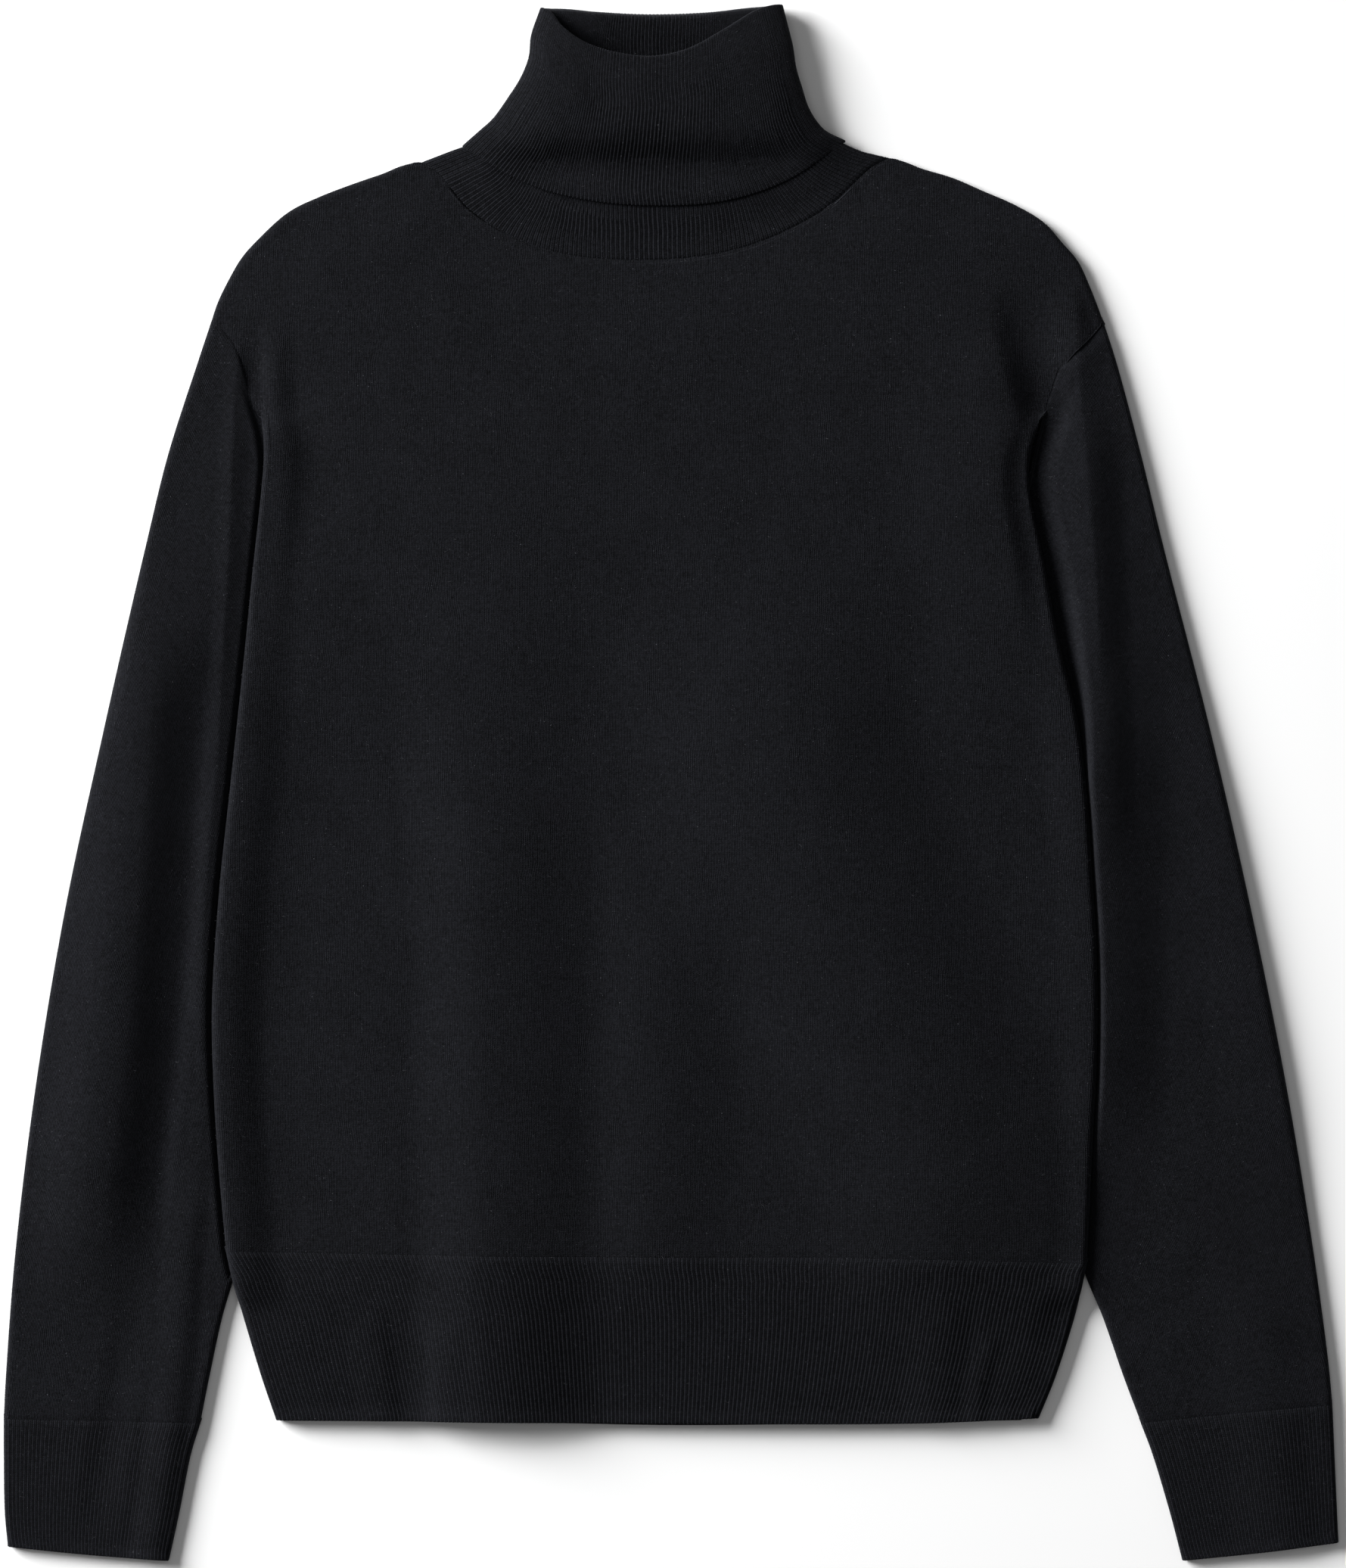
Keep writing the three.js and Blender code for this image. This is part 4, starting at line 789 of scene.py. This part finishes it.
def inside_end(middle):
    """Rows that go on inside the neighbouring tube, where a seam joins the two."""
    beyond = unit((middle[0] - middle[1]) * (1, 1, 0))
    centre = (middle[0, :, 2].max() + middle[0, :, 2].min()) / 2
    rows = []
    for reach, squeeze in ((3, 0.42), (2, 0.42), (1.1, 0.5), (0.45, 0.75)):
        row = middle[0] + beyond * reach
        row[:, 2] = centre + (row[:, 2] - centre) * squeeze
        rows.append(row)
    return np.vstack([np.stack(rows), middle])


def side_borders(side, outer, inner):
    return (curve(outer), curve(inner)) if side == "left" else (curve(inner), curve(outer))


def left_to_right(side, points):
    return points if side == "left" else points[::-1]


def make_sleeve(side):
    tables = SLEEVES[side]
    seam = offset_points(ARMHOLES[side], 0.5 * SIDE[side])
    left, right = side_borders(side, tables["outer"], tables["inner"])
    cuff_seam = curve(left_to_right(side, tables["cuff_seam"]))
    panel = patch(curve(left_to_right(side, seam)), cuff_seam, left, right)
    middle = inside_end(tube(panel, np.linspace(0, 1, 300), 130, 40))
    along = along_rows(middle, True)
    centre = along[:, 65:66]
    down = np.linalg.norm(middle - middle[:1], axis=-1)
    down = np.hstack([down, down[:, :1]])
    knit = np.stack([(along - centre) / WALE, down / COURSE], -1)
    return cloth_wall(f"sleeve_{side}_jersey", middle, knit, spread(len(middle), 6),
                      [*range(0, middle.shape[1], 4)], closed=True)


def make_cuff(side):
    tables = SLEEVES[side]
    left, right = side_borders(side, tables["cuff_outer"], tables["cuff_inner"])
    panel = patch(curve(left_to_right(side, lowered(tables["cuff_seam"]))),
                  curve(left_to_right(side, tables["cuff_bottom"])), left, right)
    rough = tube(panel, np.linspace(0, 1, 26), 60, 40)
    ribs = round(along_rows(rough, True)[:, -1].mean() / CUFF_RIB)
    looped = np.concatenate([rough, rough[:, :1]], 1)
    middle = inside_end(even_columns(looped, ribs * 6 + 1)[:, :-1])
    phase = np.linspace(0, ribs, ribs * 6 + 1)[None, :].repeat(len(middle), 0)
    down = np.linalg.norm(middle - middle[:1], axis=-1)
    lift = CUFF_RIB_DEPTH * (rib_wave(phase[:, :-1]) - 0.6) * mix(0.4, 1, ease(3, 9, down))
    lift *= ease(0.4, 1.6, middle[..., 2])
    knit = np.stack([phase, np.hstack([down, down[:, :1]]) / COURSE], -1)
    return cloth_wall(f"cuff_{side}_rib", middle, knit, spread(len(middle), 5),
                      [*range(0, middle.shape[1], 6)], closed=True, lift=lift)


# Collar

def stand_height(xy):
    x, y = xy[..., 0], xy[..., 1]
    middle, sides = (np.interp(y, *zip(*table)) for table in (COLLAR_HEIGHTS, COLLAR_SIDES))
    raised = mix(middle, sides, ease(*COLLAR_SLOPES, np.abs(x - COLLAR_MIDDLE)))
    return mix(SHOULDER - SEAM_DIP, raised, ease(0, COLLAR_RISE, nearest(neck_path, xy)[0]))


def collar_surface(c, w):
    """w is 0 at the neck seam, 1 at the crest and 2 at the turned-down edge.

    c goes once round from the left.
    """
    raised = [(x, y + 0.5) for x, y in BACK_NECK]
    base = {"front": curve(offset_points(neck_path, 0.2)), "back": curve(raised)}
    crest = {"front": curve(CREST_FRONT), "back": curve(CREST_BACK)}
    edge = {"front": curve(FOLD_FRONT_EDGE), "back": curve(FOLD_BACK_EDGE)}
    w = w[:, None]
    phase = np.clip((w - 1 + CREST_TURN) / (2 * CREST_TURN), 0, 1) * math.pi
    turned = (1 - np.cos(phase)) / 2
    down = np.maximum(0, np.abs(w - 1) - CREST_TURN) / (1 - CREST_TURN)
    across = np.where(c > 0.5, 2 * (1 - c), 2 * c)[None, :]
    halves = {}
    for half, sign in (("front", 1), ("back", -1)):
        stand = patch(crest[half], base[half], curve(STAND_LEFT), curve(STAND_RIGHT))
        fold = patch(crest[half], edge[half], curve(FOLD_LEFT), curve(FOLD_RIGHT))
        plan = mix(stand(across, np.where(w < 1, down, 0)), fold(across, np.where(w > 1, down, 0)),
                   turned[..., None])
        plan[..., 1] -= (HALF + 0.85 - 0.85 * np.sin(phase)) * (1 - down)
        top = stand_height(plan) + FOLD_LIFT * turned + 0.25 * ripple(plan, (17, 26), 21)
        to_right = ease(-60, 50, plan[..., 0])
        top -= mix(*FOLD_EDGE_DROP, to_right) * ease(1.92, 2, w)
        if half == "front":
            beside = nearest(fold_edge_path, plan)[0] - 0.6
            groove = FOLD_GROOVE * (1 - to_right) * np.exp(-(beside / FOLD_GROOVE_WIDTH) ** 2)
            top -= np.where(w < 0.5, groove, 0)
        raised_back = STAND_BACK + 7 * ease(352, 383, plan[..., 1])
        rest = mix(raised_back, TABLE_LAYER, ease(0.89, 1, np.where(w < 1, down, 0)))
        bottom = mix(rest, TABLE_LAYER, turned)
        power = mix(14, 4, ease(0, 0.5, w))
        flatness = (1 - np.abs(2 * across - 1) ** power) ** (1 / power)
        height = (top + bottom) / 2 + sign * flatness * (top - bottom) / 2
        halves[half] = np.concatenate([plan, height[..., None]], -1)
    return np.where((c > 0.5)[None, :, None], halves["back"], halves["front"])


def rib_phase(middle, place, pitch, edge_row):
    """Ribs counted from the middle of each half: they run straight down there and fan out to the sides."""
    along = along_rows(middle, True)
    place = np.append(place, 1)[None, :]
    front, back = (np.argmin(np.abs(place - middle_of_half)) for middle_of_half in (0.25, 0.75))
    straight = (along - np.where(place < 0.5, along[:, [front]], along[:, [back]])) / pitch
    fanned = straight[[edge_row]]
    return mix(fanned, straight, np.exp(-((place % 0.5 - 0.25) / 0.15) ** 4))


def collar_columns(front_count, back_count):
    """Even places round the tube, with a few more close to its two side folds."""
    side = np.array([0.0006, 0.002, 0.0045, 0.008, 0.013, 0.02])
    halves = [np.concatenate([side, np.linspace(0.026, 0.474, count), 0.5 - side[::-1]])
              for count in (front_count, back_count)]
    return np.concatenate([halves[0], halves[1] + 0.5])


def make_collar():
    c = collar_columns(430, 250)
    w = np.concatenate([
        np.linspace(0.002, 0.17, 7), np.linspace(0.182, 0.3, 14), [0.36, 0.45, 0.55, 0.62],
        np.linspace(0.68, 0.97, 11), np.linspace(0.981, 1.019, 9), np.linspace(1.03, 1.97, 26),
        [1.985, 1.998],
    ])
    middle = inside_end(collar_surface(c, w))
    w = np.concatenate([[0, 0, 0, 0], w])
    pitch = np.where(w < 0.5, STAND_RIB, mix(1.85, COLLAR_RIB, ease(1, 2, w)))[:, None]
    phase = np.where(w[:, None] < 0.5, rib_phase(middle, c, pitch, 4), rib_phase(middle, c, pitch, -1))
    down = np.linalg.norm(np.diff(middle, axis=0), axis=-1).mean(1)
    down = np.concatenate([[0], np.cumsum(down)])[:, None].repeat(middle.shape[1] + 1, 1)
    wave = rib_wave(phase[:, :-1]) - 0.6
    to_side = np.abs(c % 0.5 - 0.25)[None, :] / 0.25
    worn = (1 - ease(1.35, 1.65, w))[:, None] * ease(0.45, 0.7, to_side)
    fold_side = COLLAR_RIB_DEPTH * wave * ease(0.55, 0.7, w)[:, None] * (1 - 0.5 * worn)
    fold_side *= mix(1, 0.45, np.exp(-((w - 1.12) / 0.22) ** 2))[:, None]
    stand_side = COLLAR_RIB_DEPTH * wave * (1 - ease(0.4, 0.5, w))[:, None]
    fold_side = np.where(middle[..., 2] < 1.2, np.minimum(fold_side, 0), fold_side)
    knit = np.stack([phase, down / COURSE], -1)
    crest = [n for n in range(len(w)) if 0.93 < w[n] < 1.07]
    rows = sorted({*range(27), *range(27, len(w), 5), *crest, len(w) - 1})
    return cloth_wall("collar_rib", middle, knit, rows, [*range(len(c))], closed=True, lift=fold_side,
                      lift_inside=stand_side)


# Back

def flat_wall(name, panel, rows, columns, knit_scale, lift=None):
    """A wall that lies on the table, with its outer face up and its underside flat."""
    u, v = np.linspace(0, 1, columns), np.linspace(0, 1, rows)
    plan = panel(u[None, :], v[:, None])
    middle = np.concatenate([plan, np.full(plan.shape[:2] + (1,), TABLE_LAYER)], -1)
    knit = plan / knit_scale
    return cloth_wall(name, middle, knit, spread(rows, 3), spread(columns, 3), lift=lift)


def back_border(side):
    upper = offset_points(ARMHOLES[side], 1.2 * SIDE[side])
    tuck = [(x - SIDE[side] * 0.6, y) for x, y in TUCK_END[side] if -236 < y < 34]
    return [*[tuple(p) for p in upper[:-1]], *tuck]


def make_back():
    left = back_border("left")
    right = back_border("right")
    top = offset_points([*LEFT_SHOULDER[1:-1], *BACK_NECK[1:-1], *RIGHT_SHOULDER[1:-1]], -1.4)
    hem_left, hem_right = left[-1], right[-1]
    bottom = [hem_left, (-107, -234.5), (0, -235.5), (117.5, -236), hem_right]
    top_border = curve([left[0], *[tuple(p) for p in top], right[0]])
    panel = patch(top_border, curve(bottom), curve(left), curve(right))
    return flat_wall("back_jersey", panel, 100, 91, (WALE, COURSE))


def make_back_hem():
    left = [(x + 0.6, y) for x, y in TUCK_END["left"] if y < -236]
    right = [(x - 0.6, y) for x, y in TUCK_END["right"] if y < -236]
    left = [(-206.4, -234.8), *left]
    right = [(194.4, -238.4), *right]
    top = [left[0], (-107, -234.9), (0, -235.9), (117.5, -236.4), right[0]]
    bottom = [left[-1], (-60, -317.4), (0, -318.4), (60, -318), right[-1]]
    panel = patch(curve(top), curve(bottom), curve(left), curve(right))
    return flat_wall("back_hem_rib", panel, 19, 301, (HEM_RIB, COURSE))


# Stray fibres

def stray_fibres(name, outer, out, count, seed):
    """Short curved fibres that stand a little off the cloth."""
    rng = np.random.default_rng(seed)
    points, faces = [], []
    rows = rng.integers(1, outer.shape[0] - 1, count)
    columns = rng.integers(1, outer.shape[1] - 1, count)
    for r, c in zip(rows, columns):
        root, normal = outer[r, c], out[r, c]
        along = unit(rng.normal(size=3))
        along = unit(along - normal * (along @ normal) + normal * rng.uniform(0.05, 0.5))
        side = unit(np.cross(along, normal))
        length = rng.uniform(0.7, 2.3)
        bend = side * rng.uniform(-0.5, 0.5) - normal * rng.uniform(0.05, 0.3)
        width = rng.uniform(0.018, 0.036)
        first = len(points)
        for t, thin in ((0, 1), (0.35, 0.9), (0.7, 0.7), (1, 0.3)):
            at = root + along * length * t + bend * length * t * t
            at = np.array((at[0], at[1], max(at[2], 0.1)))
            points += [at - side * width * thin, at + side * width * thin]
        faces += [(first + k, first + k + 1, first + k + 3, first + k + 2) for k in (0, 2, 4)]
    mesh = bpy.data.meshes.new(name)
    mesh.from_pydata((np.array(points) / 1000).tolist(), [], faces)
    made = bpy.data.objects.new(name, mesh)
    bpy.context.scene.collection.objects.link(made)
    return made


# Materials

class Value:
    """A number that changes over a surface; an expression on it adds Math nodes."""

    def __init__(self, graph, socket):
        self.graph = graph
        self.socket = socket

    def __add__(self, other):
        return self.graph.math("ADD", self, other)

    def __sub__(self, other):
        return self.graph.math("SUBTRACT", self, other)

    def __rsub__(self, other):
        return self.graph.math("SUBTRACT", other, self)

    def __mul__(self, other):
        return self.graph.math("MULTIPLY", self, other)

    __radd__ = __add__
    __rmul__ = __mul__


class Graph:
    """The nodes of one material."""

    def __init__(self, name):
        self.material = bpy.data.materials.new(name)
        self.material.use_nodes = True
        self.tree = self.material.node_tree
        self.tree.nodes.clear()

    def node(self, kind, settings=None, inputs=None):
        made = self.tree.nodes.new(kind)
        for key, value in (settings or {}).items():
            setattr(made, key, value)
        for key, value in (inputs or {}).items():
            if isinstance(value, Value):
                self.tree.links.new(value.socket, made.inputs[key])
            else:
                made.inputs[key].default_value = value
        return made

    def value(self, node, output=0):
        return Value(self, node.outputs[output])

    def math(self, operation, a, b=0.0):
        return self.value(self.node("ShaderNodeMath", {"operation": operation}, {0: a, 1: b}))

    def limit(self, value):
        return self.value(self.node("ShaderNodeClamp", None, {"Value": value}))

    def noise(self, place, scale, detail):
        inputs = {"Vector": place, "Scale": scale, "Detail": detail}
        return self.value(self.node("ShaderNodeTexNoise", None, inputs))

    def step(self, value, low, high):
        settings = {"interpolation_type": "SMOOTHSTEP"}
        inputs = {"Value": value, "From Min": low, "From Max": high, "To Min": 0.0, "To Max": 1.0}
        return self.value(self.node("ShaderNodeMapRange", settings, inputs))

    def blend(self, factor, a, b):
        made = self.node("ShaderNodeMix", {"data_type": "RGBA"}, {"Factor": factor})
        for index, colour in ((6, a), (7, b)):
            if isinstance(colour, Value):
                self.tree.links.new(colour.socket, made.inputs[index])
            else:
                made.inputs[index].default_value = colour
        return self.value(made, 2)

    def shade(self, colour, normal, constants):
        shader = self.node("ShaderNodeBsdfPrincipled", None, constants)
        self.tree.links.new(colour.socket, shader.inputs["Base Color"])
        self.tree.links.new(normal.socket, shader.inputs["Normal"])
        output = self.node("ShaderNodeOutputMaterial")
        self.tree.links.new(shader.outputs[0], output.inputs[0])
        return self.material


# The darkest knit colour is painted shade for the gaps between stitch loops and the rib grooves.
PAINTED_GROOVE_SHADE = (0.0014, 0.0015, 0.002, 1)
YARN = (0.0086, 0.0091, 0.0116, 1)
FLECK = (0.085, 0.088, 0.1, 1)


def knit_material(name, stitch_depth, wale_share, sway, rib_groove_and_painted_shade):
    """Black wool in plain or rib knit: V stitches, hairy surface, uneven dye and pale flecks of fibre, with
    painted shade between the stitch loops and in the rib grooves.
    """
    graph = Graph(name)
    stitches = graph.value(graph.node("ShaderNodeUVMap", {"uv_map": "knit"}), "UV")
    axes = graph.node("ShaderNodeSeparateXYZ", None, {"Vector": stitches})
    u, v = graph.value(axes, 0), graph.value(axes, 1)
    place = graph.value(graph.node("ShaderNodeTexCoord"), "Object")
    waver = 1.3 * (graph.noise(place, 60.0, 1.0) - 0.5) + 0.1 * (graph.noise(place, 260.0, 1.0) - 0.5)
    leg = 2 * graph.math("ABSOLUTE", graph.math("FRACT", u + sway * waver) - 0.5)
    slant = graph.math("FRACT", v + 0.55 * leg)
    course = 2 * graph.math("ABSOLUTE", slant - 0.5)
    round_leg = 1 - graph.math("POWER", graph.math("ABSOLUTE", 2 * leg - 1), 2.2)
    loop = 1 - graph.math("POWER", course, 2.0)
    stitch = wale_share * round_leg + (1 - wale_share) * loop * round_leg
    hair = graph.noise(place, 1900.0, 3.0)
    tuft = graph.noise(place, 620.0, 2.0)
    patchy = graph.noise(place, 45.0, 2.0)
    grain = graph.step(graph.noise(place, 1000.0, 2.0), 0.36, 0.66)
    clump = graph.noise(place, 430.0, 1.0)
    # The rib grooves are a bump and also painted shade: the valley darkens the colour there.
    valley_bump_and_painted_shade = rib_groove_and_painted_shade * (1 - graph.step(leg, 0.02, 0.5))
    surface = stitch - valley_bump_and_painted_shade + 0.8 * (hair - 0.5) + 0.22 * grain + 0.5 * (tuft - 0.5)
    fuzz = 0.9 * (hair - 0.5) + 0.36 * (grain - 0.5) + 0.8 * (tuft - 0.5) + 0.7 * (clump - 0.5)
    # Tone is lower between the stitch legs and in the rib grooves: painted shade.
    tone = graph.limit(0.26 + 0.24 * rib_groove_and_painted_shade + 0.52 * stitch - 1.1 * valley_bump_and_painted_shade + fuzz + 0.4 * (patchy - 0.5))
    yarn_with_painted_shade = graph.blend(tone, PAINTED_GROOVE_SHADE, YARN)
    fleck = graph.step(graph.noise(place, 1150.0, 1.0), 0.74, 0.82)
    colour = graph.blend(0.55 * fleck, yarn_with_painted_shade, FLECK)
    depth = {"Strength": 0.55, "Distance": stitch_depth / 1000, "Height": surface}
    bump = graph.node("ShaderNodeBump", None, depth)
    return graph.shade(colour, graph.value(bump), {
        "Roughness": 0.92, "Specular IOR Level": 0.08, "Sheen Weight": 0.035, "Sheen Roughness": 0.45,
        "Sheen Tint": (0.82, 0.86, 1, 1),
    })


def fibre_material():
    graph = Graph("stray wool fibre")
    place = graph.value(graph.node("ShaderNodeTexCoord"), "Object")
    tone = graph.step(graph.noise(place, 160.0, 1.0), 0.35, 0.75)
    colour = graph.blend(tone, (0.006, 0.0063, 0.008, 1), (0.05, 0.052, 0.06, 1))
    bump = graph.node("ShaderNodeBump", None, {"Strength": 0.1, "Distance": 0.0001, "Height": tone})
    return graph.shade(colour, graph.value(bump), {"Roughness": 0.7, "Specular IOR Level": 0.3})


def floor_material():
    graph = Graph("pale floor")
    place = graph.value(graph.node("ShaderNodeTexCoord"), "Object")
    tone = graph.noise(place, 3.0, 2.0)
    colour = graph.blend(tone, (0.93, 0.93, 0.93, 1), (0.95, 0.95, 0.95, 1))
    bump = graph.node("ShaderNodeBump", None, {"Strength": 0.02, "Distance": 0.0002, "Height": tone})
    return graph.shade(colour, graph.value(bump), {"Roughness": 0.8, "Specular IOR Level": 0.1})


# Studio

PHOTO_WIDTH, PHOTO_HEIGHT = 1779, 2072
MM_PER_PIXEL = 0.375
FRAME_CENTRE = (0.94, -0.94)
LENS, SENSOR = 135.0, 24.0
WINDOW = {"size": (2.7, 2.7), "place": (-4.05, 1.98, 1.84), "energy": 668}
OVERHEAD = {"size": (2.4, 2.4), "place": (0, 0.2, 3.2), "energy": 10}
SKY = 0.12
FLOOR_HALF = 4.0


def make_camera():
    data = bpy.data.cameras.new("camera")
    data.lens = LENS
    data.sensor_fit = "VERTICAL"
    data.sensor_height = SENSOR
    seen = PHOTO_HEIGHT * MM_PER_PIXEL
    distance = seen * LENS / SENSOR + 6
    data.clip_end = 50
    camera = bpy.data.objects.new("camera", data)
    camera.location = (FRAME_CENTRE[0] / 1000, FRAME_CENTRE[1] / 1000, distance / 1000)
    bpy.context.scene.collection.objects.link(camera)
    bpy.context.scene.camera = camera


def area_light(name, size, place, energy):
    """A soft light that faces the sweater."""
    data = bpy.data.lights.new(name, "AREA")
    data.shape = "RECTANGLE"
    data.size, data.size_y = size
    data.energy = energy
    light = bpy.data.objects.new(name, data)
    light.location = place
    light.rotation_euler = (-Vector(place)).to_track_quat("-Z", "Y").to_euler()
    bpy.context.scene.collection.objects.link(light)


def make_studio():
    mesh = bpy.data.meshes.new("floor")
    half = FLOOR_HALF
    corners = [(-half, -half, 0), (half, -half, 0), (half, half, 0), (-half, half, 0)]
    mesh.from_pydata(corners, [], [(0, 1, 2, 3)])
    floor = bpy.data.objects.new("floor", mesh)
    mesh.materials.append(floor_material())
    bpy.context.scene.collection.objects.link(floor)
    floor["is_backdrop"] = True
    area_light("window", **WINDOW)
    area_light("overhead", **OVERHEAD)
    world = bpy.data.worlds.new("studio")
    world.use_nodes = True
    background = world.node_tree.nodes["Background"]
    background.inputs["Color"].default_value = (1, 1, 1, 1)
    background.inputs["Strength"].default_value = SKY
    bpy.context.scene.world = world
    bpy.context.scene.view_settings.view_transform = "Standard"


JERSEY = knit_material("black jersey knit", 0.42, 0.55, 1.6, 0.0)
RIB = knit_material("black rib knit", 0.3, 0.35, 0.0, 0.6)
FIBRE = fibre_material()


CLOTHS = {"jersey": JERSEY, "rib": RIB}
FIRST_SEED = 40
# For each piece: cloth, flat size and whole cut in metres, the piece it rests on and its number of fibres
SHEETS = {
    "back_panel": ("jersey", (0.43, 0.54), 0.19, "hem_rib_back", 1200),
    "hem_rib_back": ("rib", (0.4, 0.083), 0.031, "back_panel", 300),
    "front_panel": ("jersey", (0.5, 0.56), 0.245, "back_panel", 9000),
    "hem_rib_front": ("rib", (0.45, 0.083), 0.036, "hem_rib_back", 1600),
    "sleeve_left": ("jersey", (0.25, 0.55), 0.11, "cuff_left", 4500),
    "sleeve_right": ("jersey", (0.25, 0.55), 0.11, "cuff_right", 4500),
    "cuff_left": ("rib", (0.18, 0.068), None, "sleeve_left", 600),
    "cuff_right": ("rib", (0.18, 0.072), None, "sleeve_right", 600),
    "collar": ("rib", (0.4, 0.18), None, "back_panel", 1800),
}


def make_piece(node):
    """The mesh that stands for a node, with its outer face and the directions out of it."""
    whole = {
        "back_panel": make_back, "hem_rib_back": make_back_hem, "front_panel": make_front,
        "hem_rib_front": make_front_hem, "collar": make_collar,
    }
    if node in whole:
        return whole[node]()
    kind, side = node.split("_")
    return make_sleeve(side) if kind == "sleeve" else make_cuff(side)


def dress(node, seed, fibre_share):
    """Makes a piece with its cloth and its fibres and gives it its place in the frame."""
    slot, flat, area, rests_on, fibres = SHEETS[node]
    piece, outer, out = make_piece(node)
    piece.data.materials.append(CLOTHS[slot])
    fuzz = stray_fibres(piece.name + "_fibres", outer, out, round(fibres * fibre_share), seed)
    fuzz.data.materials.append(FIBRE)
    for thing in (piece, fuzz):
        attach(thing, "root")
    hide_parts(node)


def main():
    make_camera()
    make_studio()
    fibre_share = 1
    for number, node in enumerate(SHEETS):
        dress(node, FIRST_SEED + number, fibre_share)


main()
boxes = [[list(map(float, corner)) for corner in box] for box in (cad_box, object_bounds())]
